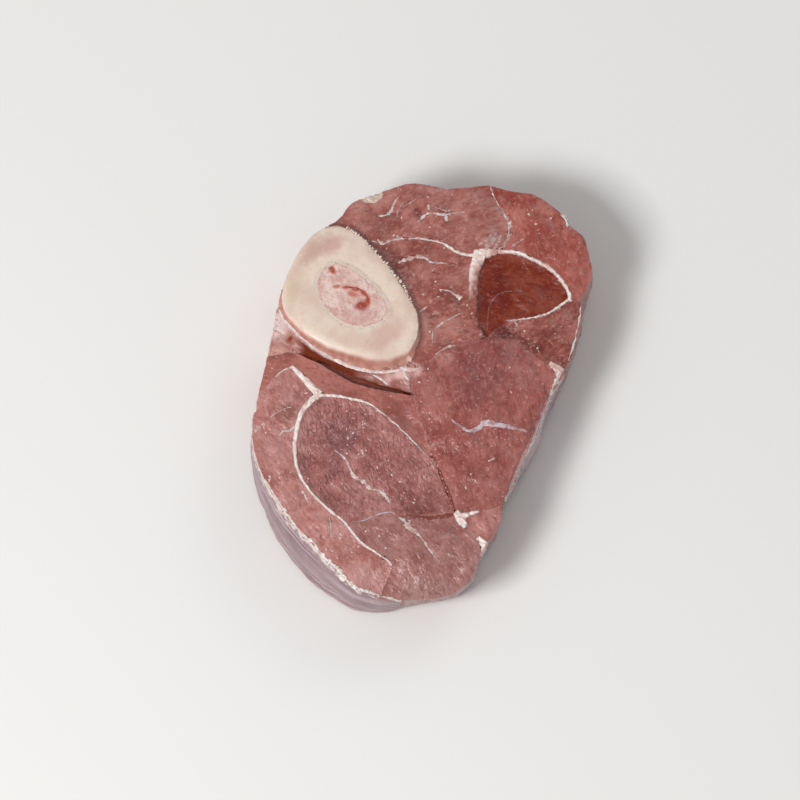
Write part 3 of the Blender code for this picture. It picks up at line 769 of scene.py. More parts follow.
SMEARED = dict(base=(178, 122, 115), deep=(152, 92, 85), pale=(200, 152, 145))
PEARL = pearl("silverskin")
SKIN_TREE = slice_tree("silverskin", runs_round=True)
for side in ("left", "right"):
    dress(f"membrane_{side}", f"silverskin_{side}", SKIN_TREE, PEARL, {
        "Overlap": 0.3 * MM,
        "Lift": 0.15 * MM,
        "Rolls": 0.12 * MM,
        "Roll Size": 7 * MM,
        "Bundles": 0.25 * MM,
        "Bundle Size": 1.6 * MM,
        "Bundle Stretch": 14.0,
    })


# Bone sheath
# The gristle and thin fat that hold the meat to the bone, a moist strip with a white edge,
# torn open towards the meat and with a thicker pad at the left.
def gristle(name):
    """Pinkish white gristle, browner in the dips of its streaks, with painted shade in dark brown-red where
    it drops into the cleft by the bone.
    """
    material, tree, shader, place = new_material(name)
    broad = noise(tree, place, 6 * MM, 4.0)
    colour = two_tone(tree, broad, 0.4, 0.62, (188, 138, 130), (166, 112, 104))
    streaks = noise(tree, turned_place(tree, place, -28, 3.0), 1.3 * MM, 3.0)
    colour = tinted(tree, colour, between(tree, streaks, 0.5, 0.7, 0.0, 0.7), (222, 190, 184))
    colour = stained(tree, colour, place, [
        (277, 324, 15, 17, 20, (234, 204, 198), 1.0), (272, 350, 14, 7, 0, (214, 164, 150), 0.9),
        (402, 373, 10, 6, 0, (230, 196, 190), 0.9), (388, 380, 4, 7, 20, (214, 172, 166), 0.9),
        (394, 382, 5, 4, 20, (160, 106, 102), 0.9), (290, 337, 2.5, 4.5, -30, (150, 70, 46), 1.0),
    ])
    colour = tinted(tree, colour, between(tree, streaks, 0.42, 0.3, 0.0, 0.6), (164, 104, 96))
    # Painted shade in dark brown-red: right of the pad, on the strip's torn ledge away from the bone and low
    # down its sides, where it falls into the cleft; matt there too.
    across, _, height = parts(tree, place)
    pad_ends, cleft_starts, cleft_closes, tissue_starts = (on_face(u, 340)[0] for u in (294, 306, 350, 374))
    crumbly = centred(tree, noise(tree, place, 2 * MM, 2.0), 0.03)
    from_bone = plus(tree, attribute(tree, "bone near"), crumbly)
    beyond = between(tree, from_bone, 0.52, 0.46)
    ledge = times(tree, beyond, between(tree, across, cleft_closes, tissue_starts, 1.0, 0.0))
    low = between(tree, height, 24.6 * MM, 23.4 * MM)
    cleft = between(tree, across, pad_ends, cleft_starts)
    dark = times(tree, cleft, maths(tree, "MAXIMUM", ledge, low))
    colour = tinted(tree, colour, dark, CLEFT_SHADE)
    fine = noise(tree, place, 0.6 * MM, 3.0)
    height = plus(tree, times(tree, fine, 0.4), times(tree, streaks, 0.6))
    roughness = maths(tree, "MAXIMUM", between(tree, fine, 0.3, 0.7, 0.34, 0.48), times(tree, dark, 0.85))
    finish_shader(tree, shader, colour, height, 0.3 * MM, roughness, wet=0.0, soft=0.2, shine=0.3)
    return material


# The colour of the painted shade in the cleft
CLEFT_SHADE = (120, 62, 40)
dress("sheath_of_gristle", "bone_sheath", FAT_TREE, gristle("gristle"), {
    "Rounds": 4,
    "Closes": 1.2 * MM,
    "Stays Open": 1.3 * MM,
    "Overlap": 1.0 * MM,
    "Bone Lift": 1.3 * MM,
    "Bone Lift Reach": 1.0 * MM,
    "Rim Round": 0.8 * MM,
    "Rim Round Reach": 1.0 * MM,
    "Met Round": 0.0,
    "Rolls": 0.2 * MM,
    "Roll Size": 4 * MM,
    "Bundles": 0.2 * MM,
    "Bundle Size": 2.4 * MM,
})


# Bone
# The shaft of the shin bone, sawn through: a thick ring of dense ivory bone round the marrow,
# pinker where blood has stained it, with a painted highlight along its rims that is whitest along
# its near edge. Its side is tan and smooth.
def ivory(name):
    """Sawn dense bone, matt and faintly mottled."""
    material, tree, shader, place = new_material(name)
    broad = noise(tree, place, 9 * MM, 3.0)
    colour = two_tone(tree, broad, 0.38, 0.64, (231, 211, 195), (220, 197, 181))
    blotches = noise(tree, place, 2.4 * MM, 4.0, 0.6)
    colour = tinted(tree, colour, between(tree, blotches, 0.5, 0.72, 0.0, 0.35), (206, 176, 160))
    colour = tinted(tree, colour, between(tree, blotches, 0.45, 0.3, 0.0, 0.25), (238, 220, 206))
    colour = stained(tree, colour, place, [
        (314, 250, 26, 9, 48, (198, 162, 148), 0.75), (332, 244, 16, 9, 30, (200, 154, 146), 0.7),
        (386, 334, 26, 14, 38, (207, 167, 156), 0.65), (374, 248, 14, 12, 30, (220, 194, 178), 0.6),
        # Painted highlight along the bone's near edge
        (330, 344, 50, 7, -28, (238, 222, 206), 0.7),
        (292, 292, 8, 16, 0, (208, 184, 160), 0.6), (376, 290, 6, 9, 20, (204, 180, 154), 0.6),
        (390, 312, 5, 7, 0, (204, 174, 156), 0.6), (352, 232, 20, 7, -40, (234, 212, 200), 0.5),
        (404, 344, 7, 14, -20, (238, 218, 204), 0.6), (300, 268, 8, 12, 30, (216, 190, 170), 0.5),
    ], BONE_HEIGHT)
    pores = between(tree, noise(tree, place, 0.6 * MM, 2.0), 0.3, 0.42, 0.12, 0.0)
    colour = tinted(tree, colour, pores, (198, 164, 146))
    skin = noise(tree, turned_place(tree, place, 0, 1, 6.0), 3 * MM, 2.0)
    side = two_tone(tree, skin, 0.35, 0.7, (202, 152, 138), (184, 127, 114))
    side = mixed(tree, between(tree, attribute(tree, "rim"), 0.2, 2.2), under_gloss(230, 204, 190), side)
    middle = (*on_face(352, 297, BONE_HEIGHT), 0)
    flat = vectors(tree, "MULTIPLY", place, LEVEL)
    away = distance(tree, flat, middle)
    outside = times(tree, attribute(tree, "wall"), between(tree, away, 15 * MM, 16.5 * MM))
    colour = mixed(tree, outside, colour, side)
    # A painted highlight along the rims
    rim = times(tree, between(tree, attribute(tree, "rim"), 0.7, 0.1), 0.3)
    colour = tinted(tree, colour, rim, (234, 208, 196))
    fine = noise(tree, place, 0.5 * MM, 2.0)
    height = plus(tree, times(tree, fine, 0.5), blotches)
    roughness = between(tree, blotches, 0.3, 0.7, 0.42, 0.55)
    finish_shader(tree, shader, colour, height, 0.12 * MM, roughness, wet=0.1, soft=0.15)
    return material


BONE_HEIGHT = 28.6 * MM
dress("shin_bone", "bone", FAT_TREE, ivory("ivory bone"), {
    "Closes": 1.2 * MM,
    "Stays Open": 1.6 * MM,
    "Overlap": 0.1 * MM,
    "Ragged": 0.1 * MM,
    "Rim Round": 0.6 * MM,
    "Rim Round Reach": 0.8 * MM,
    "Met Round": 0.0,
    "Rolls": 0.03 * MM,
    "Roll Size": 6 * MM,
})


# Marrow
# Soft pink marrow that fills the bone, flush with the sawn ring and grainy where the saw has
# torn it.
def soft_core(name):
    """Grainy pink marrow that pales into the bone along its border."""
    material, tree, shader, place = new_material(name)
    broad = noise(tree, place, 4 * MM, 4.0)
    colour = two_tone(tree, broad, 0.38, 0.62, (234, 208, 198), (216, 176, 166))
    grains = noise(tree, place, 1.0 * MM, 3.0, 0.6)
    colour = tinted(tree, colour, between(tree, grains, 0.52, 0.68, 0.0, 0.4), (206, 152, 142))
    colour = tinted(tree, colour, between(tree, grains, 0.46, 0.34, 0.0, 0.4), (240, 220, 211))
    colour = stained(tree, colour, place, [
        (332, 269, 3.5, 6, 25, (180, 84, 70), 1.0), (329, 262, 3, 4, 0, (208, 128, 118), 0.7),
        (337, 286, 4.5, 2.5, 0, (192, 104, 90), 0.9), (346, 287, 6, 2.5, 5, (190, 92, 78), 0.9),
        (356, 289, 6, 3, -20, (182, 76, 60), 1.0), (364, 293, 6, 3, -45, (180, 72, 56), 1.0),
        (368, 300, 3, 6, 0, (180, 72, 56), 1.0), (353, 294, 9, 4, -20, (200, 118, 104), 0.9),
        (362, 305, 8, 7, 0, (160, 58, 38), 1.0), (362, 306, 2.5, 2.5, 0, (206, 120, 104), 0.8),
        (318, 280, 3, 12, 0, (206, 140, 132), 0.6), (334, 316, 8, 2, -45, (198, 132, 118), 0.6),
        (346, 327, 9, 2, -10, (194, 128, 114), 0.7), (358, 320, 22, 9, -10, (208, 160, 152), 0.6),
        (378, 305, 7, 10, 0, (216, 176, 168), 0.5),
    ], BONE_HEIGHT)
    border = plus(tree, attribute(tree, "rim"), centred(tree, noise(tree, place, 1.8 * MM, 3.0), 0.5))
    off_border = maths(tree, "ABSOLUTE", minus(tree, border, 0.6))
    outline = between(tree, off_border, 0.3, 0.0, 0.0, 0.45)
    colour = tinted(tree, colour, between(tree, border, 0.1, 0.8, 1.0, 0.0), (228, 206, 192))
    colour = tinted(tree, colour, outline, (198, 138, 122))
    fine = noise(tree, place, 0.5 * MM, 3.0)
    height = plus(tree, times(tree, fine, 0.4), times(tree, grains, 0.6))
    roughness = between(tree, fine, 0.3, 0.7, 0.32, 0.48)
    finish_shader(tree, shader, colour, height, 0.4 * MM, roughness, wet=0.25, soft=0.35)
    return material


dress("marrow_core", "marrow", FAT_TREE, soft_core("pink marrow"), {
    "Rounds": 4,
    "Overlap": 0.6 * MM,
    "Lift": 0.98 * MM,
    "Lift Reach": 9 * MM,
    "Rim Round": 0.0,
    "Rolls": 0.15 * MM,
    "Roll Size": 3 * MM,
    "Bundles": 0.15 * MM,
    "Bundle Size": 1.3 * MM,
})


# Marbling and membranes
# Thin threads of white fat and lavender membrane, half sunk in the cut faces: the marbling, the
# ragged fatty edge along the silverskin and the white edge of the sheath. With them the vessels
# in the marrow, the crumbs of bone along its far rim and dark strands in the creases that are
# painted shade.
LINE_STEP = 0.3 * MM
LINE_SIDES = 8
NEARBY = 1.0 * MM
RAYS_FROM = 80 * MM
VIEW_RAY = (0, math.cos(TILT), -math.sin(TILT))

# What a thread's tree takes: how it is laid on the slice, and its shape
LAID = {"Ray": VIEW_RAY, "Start": (0.0, 0.0, 0.0), "Stray": 0.2 * MM}
STRAND = {"Width": 0.9, "Thickness": 0.14, "Beads": 1.1, "Bead Size": 1.1 * MM}


def evenly(tree, curve, step):
    """A smooth line through a curve's points, divided into even steps."""
    line = add(tree, "GeometryNodeCurveSplineType", {"Curve": curve}, spline_type="CATMULL_ROM").outputs[0]
    return add(tree, "GeometryNodeResampleCurve", {"Curve": line, "Length": step}, mode="LENGTH").outputs[0]


def met_by_rays(tree, whole, start, ray, reach):
    """Where rays meet a mesh, if they do."""
    return add(tree, "GeometryNodeRaycast", {
        "Target Geometry": whole,
        "Source Position": start,
        "Ray Direction": ray,
        "Ray Length": reach,
    }).outputs


def line_on_slice(tree, given):
    """The given curve, evenly divided and dropped on the slice along the rays."""
    whole = gathered(tree, given)
    line = evenly(tree, given["Geometry"], LINE_STEP)
    place = position(tree)
    line = moved(tree, line, drifting(tree, place, 1.6 * MM, given["Stray"]))
    start = vectors(tree, "ADD", place, given["Start"])
    hit = met_by_rays(tree, whole, start, given["Ray"], 2 * RAYS_FROM)
    missed = minus(tree, 1.0, hit["Is Hit"])
    inputs = {"Geometry": line, "Selection": missed}
    line = add(tree, "GeometryNodeDeleteGeometry", inputs, domain="POINT").outputs[0]
    line = put_at(tree, line, hit["Hit Position"])
    inputs = {"Value": place, "Iterations": 2}
    eased = add(tree, "GeometryNodeBlurAttribute", inputs, data_type="FLOAT_VECTOR").outputs["Value"]
    return put_at(tree, line, eased), whole


def beaded(tree, line, given):
    """A flat tube along a line, as wide as the line's radius says, swelling and thinning in beads."""
    line = add(tree, "GeometryNodeSetCurveNormal", {"Curve": line}, mode="Z_UP").outputs[0]
    place = position(tree)
    inputs = {"Vector": place, "Scale": divided(tree, 1.0, given["Bead Size"]), "Detail": 2.0}
    bead = centred(tree, add(tree, "ShaderNodeTexNoise", inputs).outputs["Fac"], given["Beads"])
    bead = maths(tree, "MAXIMUM", plus(tree, bead, 1.0), 0.3)
    bead = times(tree, bead, given["Width"])
    radius = times(tree, add(tree, "GeometryNodeInputRadius", {}).outputs[0], bead)
    ring = add(tree, "GeometryNodeCurvePrimitiveCircle", {"Resolution": LINE_SIDES, "Radius": 1.0}).outputs[0]
    flat = vector(tree, 1.0, given["Thickness"], 1.0)
    ring = add(tree, "GeometryNodeTransform", {"Geometry": ring, "Scale": flat}).outputs[0]
    inputs = {"Curve": line, "Profile Curve": ring, "Scale": radius, "Fill Caps": True}
    return add(tree, "GeometryNodeCurveToMesh", inputs).outputs[0]


def line_tree(name):
    """Lays a flat, beaded thread along each line of a curve, where rays meet the slice. Its whole
    width follows the bumps of the surface."""
    tree, given = new_tree(name, {**LAID, **STRAND})
    line, whole = line_on_slice(tree, given)
    place = position(tree)
    x, y, z = parts(tree, place)
    strand = beaded(tree, stored(tree, line, "line height", z), given)
    line_height = recalled(tree, "line height")
    down = maths(tree, "SIGN", parts(tree, given["Ray"])[2])
    above = minus(tree, line_height, times(tree, down, NEARBY))
    hit = met_by_rays(tree, whole, vector(tree, x, y, above), vector(tree, z=down), 2 * NEARBY)
    surface = parts(tree, hit["Hit Position"])[2]
    rise = minus(tree, surface, line_height)
    offset = vector(tree, z=times(tree, rise, hit["Is Hit"]))
    end_tree(tree, moved(tree, strand, offset), given)
    return tree


def any_between(tree, low, high, seed):
    return add(tree, "FunctionNodeRandomValue", {2: low, 3: high, "Seed": seed}, data_type="FLOAT").outputs[1]


def ball(tree):
    """A plain ball of radius one, with few faces."""
    return add(tree, "GeometryNodeMeshUVSphere", {"Segments": 8, "Rings": 5, "Radius": 1.0}).outputs[0]


def scattered(tree, points, thing, rotation, scale):
    """A copy of a thing at every point."""
    inputs = {"Points": points, "Instance": thing, "Rotation": rotation, "Scale": scale}
    return add(tree, "GeometryNodeInstanceOnPoints", inputs).outputs[0]


def crumb_tree(name):
    """Sets small torn crumbs close together along each line of a curve, long to its left."""
    tree, given = new_tree(name, {"Spacing": 0.5 * MM, "Length": 0.5 * MM, "Width": 0.3 * MM})
    line = evenly(tree, given["Geometry"], given["Spacing"])
    along = add(tree, "GeometryNodeInputTangent", {}).outputs[0]
    place = position(tree)
    astray = swing(tree, place, 0.5 * MM)
    aim = vectors(tree, "ADD", vectors(tree, "CROSS_PRODUCT", (0, 0, 1), along), scaled(tree, astray, 3.0))
    line = moved(tree, line, scaled(tree, astray, 2.2 * MM))
    shape = vector(tree, given["Width"], given["Width"], given["Length"])
    crumb = add(tree, "GeometryNodeTransform", {"Geometry": ball(tree), "Scale": shape}).outputs[0]
    size = any_between(tree, 0.25, 1.2, 5)
    turn = add(tree, "FunctionNodeAlignEulerToVector", {"Vector": aim}, axis="Z").outputs[0]
    end_tree(tree, scattered(tree, line, crumb, turn, size), given)
    return tree


def sunk_tree(name):
    """A thick beaded strand along each line of a curve, where the line lies."""
    tree, given = new_tree(name, {**STRAND, "Thickness": 0.5})
    end_tree(tree, beaded(tree, evenly(tree, given["Geometry"], LINE_STEP), given), given)
    return tree


def drawn_lines(name, lines, height=FACE_HEIGHT):
    """A curve with a line through each list of photograph pixels. Each starts with its widths, in mm,
    which are spread evenly along it."""
    curve = bpy.data.curves.new(name, "CURVE")
    curve.dimensions = "3D"
    for widths, pixels in lines:
        spline = curve.splines.new("POLY")
        spline.points.add(len(pixels) - 1)
        shares = np.interp(np.linspace(0, 1, len(pixels)), np.linspace(0, 1, len(widths)), widths)
        for point, pixel, width in zip(spline.points, pixels, shares):
            point.co = (*on_face(*pixel, height), height, 1)
            point.radius = width / 2 * MM
    return placed(name, curve)


slice_pieces = bpy.data.collections.new("slice")
for piece in dressed_pieces:
    slice_pieces.objects.link(piece)

LINE_TREE = line_tree("thread on the slice")
FROM_BELOW = {"Start": (0, 0, -RAYS_FROM), "Ray": (0, 0, 1), "Thickness": 0.12}


def laid_lines(name, lines, material, sizes):
    """Threads of one kind as a finished piece."""
    from_above = {"Start": tuple(-RAYS_FROM * c for c in VIEW_RAY), "Collection": slice_pieces}
    piece = settled(drawn_lines(name, lines), LINE_TREE, material, {**from_above, **sizes})
    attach(piece, "root")


def thread(name, bright, dull, fades_to):
    """Thin, soft white fat that fades in and out of the meat along its length."""
    material, tree, shader, place = new_material(name)
    fine = noise(tree, place, 1.2 * MM, 2.0)
    colour = two_tone(tree, fine, 0.35, 0.65, bright, dull)
    fading_out = between(tree, noise(tree, place, 3 * MM, 2.0), 0.46, 0.66, 0.0, 0.8)
    colour = tinted(tree, colour, fading_out, fades_to)
    finish_shader(tree, shader, colour, fine, 0.2 * MM, 0.42, wet=0.2, soft=0.4)
    return material


WHITE_THREAD = thread("white threads", (248, 222, 213), (232, 190, 180), (196, 142, 132))
LAVENDER_THREAD = thread("lavender threads", (228, 200, 206), (206, 166, 172), (172, 112, 108))
PINK_THREAD = thread("pinkish threads", (220, 176, 168), (202, 150, 142), (186, 130, 122))
FAINT_THREAD = thread("faint threads", (158, 102, 98), (138, 80, 74), (118, 58, 48))
SHEATH_WHITE = thread("white edge of the sheath", (246, 222, 216), (236, 204, 198), (218, 178, 172))
FIBRE = thread("torn white fibres", (250, 238, 228), (236, 214, 204), (226, 190, 178))
TORN_BONE = thread("torn bone", (242, 224, 210), (230, 204, 190), (216, 174, 160))

# Each line's widths in mm, and the pixels of the photograph that it runs through
MARBLING = [
    ((0.5, 1.1, 0.8, 0.5, 0.3), [
        (378, 214.5), (383, 215), (387.5, 213.5), (391.5, 210), (393, 205), (396, 199), (400, 195)]),
    ((0.5, 0.9, 0.7, 0.8, 0.6, 0.3), [
        (417, 222.5), (421, 218), (427, 213), (431, 212), (440, 213.5), (447, 214), (452, 213), (458, 211.5),
        (466, 211)]),
    ((0.7, 1.2, 0.4), [(445.5, 213.5), (446.5, 217.5), (447.5, 221)]),
    ((0.5, 1.0, 0.6), [(428, 203), (428.3, 206), (428.8, 209.5)]),
    ((0.3, 0.6, 0.3), [(435, 206), (441, 208.5), (447, 210.5), (452, 208)]),
    ((0.4, 1.0, 0.9, 0.4), [(377.5, 237.5), (380, 242), (384, 243.5), (388, 241), (391.5, 240)]),
    ((0.5, 1.0, 0.5), [(396, 234.5), (399, 236.5), (405, 238.5)]),
    ((0.4, 1.0, 1.2, 0.9, 0.6, 0.4), [
        (398, 263), (403, 260), (412, 257.5), (419, 256), (426, 258), (432, 262), (441, 262.5), (447, 263)]),
    ((0.3, 0.5, 0.8, 1.8), [(439, 289), (449, 290.5), (455, 294.5), (462, 299)]),
    ((0.3, 0.5, 0.3), [(419, 312.5), (424, 308), (429, 305.5)]),
    ((0.3, 0.7, 0.5, 0.3), [(435, 328.5), (442, 323.5), (453, 317), (461, 313)]),
    ((0.2, 0.35, 0.2), [(433, 330), (432.5, 336), (432.5, 343)]),
    ((0.3, 0.9, 0.9, 0.5), [(435, 355), (444, 348.5), (450, 346.5), (457, 345.5)]),
    ((0.2, 0.4, 0.2), [(512, 246), (519, 241), (526, 237.5)]),
    ((0.3, 0.6, 1.2, 1.1, 0.9), [
        (334, 450), (341, 454.5), (347, 461), (350.5, 470), (355, 477), (364, 482), (371, 488.5),
        (380, 491), (387, 498), (390, 503)]),
    ((1.6, 0.9, 0.5), [(254, 434), (258, 428), (264, 423)]),
    ((0.3, 0.5, 0.8), [(279, 436), (283.5, 431), (289, 431), (295, 426)]),
    ((0.3, 0.7), [(267.5, 485), (270.5, 477)]),
    ((0.2, 0.4, 0.2), [(270, 417.5), (279, 411), (292, 407)]),
    ((0.7, 0.4), [(302, 490), (309, 503)]),
    ((0.2, 0.4, 0.2), [(329.5, 516), (331, 527), (331, 538)]),
    ((0.3, 2.0, 1.4, 0.7, 0.5, 0.3), [
        (398, 516), (404.5, 521), (410, 528), (418, 534), (424, 541), (431, 551), (440, 562)]),
    ((0.3, 0.7, 0.3), [(487, 461.5), (491, 459.5), (495.5, 457.5)]),
    ((0.4, 0.5, 0.6, 0.9, 1.5), [(496, 199), (501, 207.5), (506, 215), (509.5, 221.5), (512.5, 227)]),
    ((0.5, 0.8), [(528, 212), (531, 215)]),
    ((0.7, 0.7), [(536, 222), (536.5, 225)]),
    ((0.5, 0.6), [(538, 237), (539.5, 238)]),
    ((0.7, 0.6), [(554, 258), (556, 259)]),
    ((0.6, 0.7), [(432, 269), (433.5, 271)]),
    ((0.6, 0.8), [(434.5, 280), (436.5, 282.5)]),
    ((0.5, 0.6), [(456, 225.5), (458, 227)]),
    ((0.8, 0.7), [(367.5, 438), (370, 440.5)]),
]
laid_lines("marbling", MARBLING, WHITE_THREAD, {})
laid_lines("marbling_underneath", MARBLING, WHITE_THREAD, FROM_BELOW)

TISSUE_LINES = [
    ((0.4, 0.9, 0.6), [(503, 250), (508, 240), (512.5, 229)]),
    ((0.7, 1.4, 0.5), [(486, 250), (488, 244), (491, 238)]),
    ((0.4, 0.9, 0.5), [(493, 251), (498, 242), (502, 234)]),
    ((0.4, 1.0, 0.5), [(489, 247), (494, 239), (497, 231)]),
    ((0.4, 0.8, 0.4), [(478, 245), (485, 240), (492, 234)]),
    ((0.3, 0.6, 0.3), [(417, 197), (412, 201), (402, 206)]),
    ((0.2, 0.5, 0.2), [(404, 201), (399, 208), (397, 216)]),
]
laid_lines("tissue_threads", TISSUE_LINES, PINK_THREAD, {"Thickness": 0.1})

FAINT_LINES = [
    ((0.3, 0.6, 0.6, 0.5), [
        (521, 290.5), (504, 291.5), (495, 297.5), (490, 305.5), (488, 317), (487.5, 332)]),
    ((0.6, 1.0, 0.6), [(516, 290), (520, 290.5), (523, 292)]),
]
laid_lines("faint_threads", FAINT_LINES, FAINT_THREAD, {"Beads": 0.5})

MEMBRANE_LINES = [
    ((0.6, 0.4), [(515.5, 321), (518, 326)]),
    ((0.4, 0.8, 1.0, 1.5, 1.6, 1.0, 0.4), [
        (451, 418.5), (459, 425.5), (469.5, 431), (479, 428), (484.5, 422.5), (495, 424.5), (509, 426.5),
        (520, 429.5), (527.5, 432)]),
    ((0.3, 0.5, 0.5, 0.3), [(355, 521), (364, 520), (373, 515.5), (387, 512), (396, 513)]),
    ((0.3, 0.4, 0.2), [(278.5, 437), (277, 442), (279, 449)]),
]
laid_lines("membranes", MEMBRANE_LINES, LAVENDER_THREAD, {"Width": 1.2, "Beads": 0.5})
laid_lines("membranes_underneath", MEMBRANE_LINES, LAVENDER_THREAD, {
    **FROM_BELOW, "Beads": 0.5,
})

FATTY_EDGES = [
    ((0.4, 0.8, 1.2, 0.9, 1.4, 0.8, 0.5), [
        (253, 450), (256, 463), (262, 476), (269, 486), (277, 499), (286, 513), (296, 526), (304, 536),
        (313, 542), (319, 550), (327, 559), (336, 568), (345, 578), (356, 586.5), (369, 591.5), (381, 595),
        (392, 598), (402, 601)]),
    ((0.3, 0.9, 0.7, 0.9, 0.5), [
        (555, 393), (546, 410), (536.5, 433), (527.5, 452), (518, 475), (511, 488.5), (502, 507)]),
    ((0.3, 0.7, 0.5), [(581, 306), (580, 317), (575.5, 340), (568.5, 361)]),
    ((0.6, 1.2, 0.9, 0.5), [(559, 372), (556.5, 379), (553, 388), (549, 400)]),
    ((0.4, 1.3, 0.9), [(561, 213), (567, 219), (568.5, 227)]),
]
laid_lines("fatty_edges", FATTY_EDGES, FIBRE, {
    "Width": 0.8, "Thickness": 0.2, "Beads": 1.3, "Bead Size": 1.6 * MM, "Stray": 0.45 * MM,
})

SHEATH_EDGE = [
    ((0.5, 0.9, 0.9, 1.0, 1.3, 1.2, 0.7), [
        (276, 302), (280, 312), (285, 321), (293, 330), (300, 337), (308, 343.5), (316, 349.5), (323, 353.5),
        (330, 357.5), (337, 361), (346, 365), (356, 368.5), (369, 371), (384, 372), (399, 370),
        (407, 365.5)]),
    ((0.4, 1.0, 0.5), [(403, 367), (405, 374), (409, 381)]),
    ((0.8, 2.0, 1.6, 0.5), [(400, 367), (407, 369), (413, 369.5), (419, 368)]),
    ((0.4, 0.8, 0.4), [(372, 374), (381, 379), (388, 385)]),
    ((0.3, 0.7, 0.3), [(268, 318), (276, 326), (284, 333)]),
    ((0.3, 0.6, 0.3), [(283, 318), (276, 327), (268, 338)]),
]
laid_lines("sheath_edge", SHEATH_EDGE, SHEATH_WHITE, {
    "Thickness": 0.4, "Beads": 0.35, "Stray": 0.08 * MM,
})

TORN_CRUMBS = [
    ((0.5, 0.5), [
        (347, 227), (352, 230), (358.5, 234.5), (365, 240), (371, 246), (376, 252), (381.5, 258), (387, 264),
        (392, 270), (396.5, 276), (401, 282), (405, 288), (408.5, 294), (411, 300), (413, 308)]),
]
drawn = drawn_lines("torn_bone_crumbs", TORN_CRUMBS, BONE_HEIGHT - 0.2 * MM)
piece = settled(drawn, crumb_tree("crumbs on the bone"), TORN_BONE, {})
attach(piece, "root")


def blood(name, bright, dull):
    """Dark clotted red for the vessels, and dark red painted shade for the strands and block in the creases.
    """
    material, tree, shader, place = new_material(name)
    shade = noise(tree, place, 1.2 * MM, 3.0)
    colour = two_tone(tree, shade, 0.35, 0.65, bright, dull)
    finish_shader(tree, shader, colour, shade, 0.2 * MM, 0.3, wet=0.4, soft=0.3)
    return material


VESSELS = [
    ((0.3, 0.6, 0.3), [(330, 266), (331, 269), (332, 272)]),
    ((0.2, 0.5, 0.6, 0.4), [(341, 287), (349, 287), (357, 288), (364, 292), (368, 298)]),
    ((0.6, 1.2, 0.6), [(359, 302), (362, 306), (365, 306)]),
]
CLOT = blood("clotted blood", (196, 98, 80), (158, 58, 42))
laid_lines("marrow_vessels", VESSELS, CLOT, {
    "Thickness": 0.2, "Stray": 0.25 * MM, "Beads": 0.8,
})

# Dark strands sunk in the open creases, and a block of dark tissue inside the slice that closes its
# seams: both are painted shade, dark red where the creases and seams fall into shadow
CREASE_SHADE_STRANDS = [
    ((0.8, 1.6, 1.6), [
        (427, 447), (433, 456.5), (438.5, 466), (443.8, 480), (449, 492.5), (452.5, 503), (454.5, 510)]),
    ((0.8, 1.6, 1.6), [(404, 514), (418, 517), (430, 518), (441.5, 516.5), (453, 514.5)]),
    ((1.6, 2.6, 2.0), [(476, 326), (481, 335), (487, 342)]),
    ((1.6, 1.6), [(320.5, 391), (324.5, 392.5)]),
    ((1.6, 1.6), [(503, 251), (507, 252.5)]),
]
# A dark red that stands for the shade deep in the creases and seams: painted shade
CREASE_SHADE_TISSUE = blood("torn tissue", (142, 78, 66), (122, 64, 54))
CREASE_DEPTH = 0.8 * MM
drawn = drawn_lines("torn_tissue", CREASE_SHADE_STRANDS, FACE_HEIGHT - CREASE_DEPTH)
piece = settled(drawn, sunk_tree("strand in a crease"), CREASE_SHADE_TISSUE, {"Beads": 0.4})
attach(piece, "root")

SEAM_TISSUE = [
    (275, 330), (264, 390), (264, 450), (282, 498), (320, 540), (372, 562), (420, 560), (448, 548),
    (466, 530), (488, 500), (516, 450), (540, 395), (556, 350), (568, 300), (570, 245), (546, 208),
    (490, 202), (430, 198), (372, 212), (350, 240), (355, 370), (300, 350),
]
TISSUE_LEVELS = (2.5 * MM, 23.0 * MM)


def seam_tissue(name):
    """A block between two heights whose outline runs through some pixels of the photograph."""
    count = len(SEAM_TISSUE)
    corners = [(*on_face(u, v), z) for z in TISSUE_LEVELS for u, v in SEAM_TISSUE]
    sides = [(i, (i + 1) % count, (i + 1) % count + count, i + count) for i in range(count)]
    mesh = bpy.data.meshes.new(name)
    mesh.from_pydata(corners, [], [tuple(range(count)), tuple(range(2 * count - 1, count - 1, -1)), *sides])
    mesh.materials.append(CREASE_SHADE_TISSUE)
    return placed(name, mesh)


piece = seam_tissue("seam_tissue")
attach(piece, "root")


# Fat flecks and painted glints
# Specks of fat a fraction of a millimetre across, sown over the cut faces and thick in a few
# patches of the muscles, where they also stand for wet glints: painted highlights.
# Each patch's pixel, its reach in pixels and how thick the specks lie there
FLECK_AND_GLINT_PATCHES = [
    (365, 432, 24, 0.4), (352, 448, 16, 0.3), (388, 472, 15, 0.6), (402, 498, 12, 0.9), (350, 415, 16, 0.35),
    (538, 228, 22, 0.15), (300, 400, 10, 0.4), (440, 290, 18, 0.2), (500, 440, 20, 0.1),
    (270, 470, 12, 0.4), (345, 545, 18, 0.4),
]


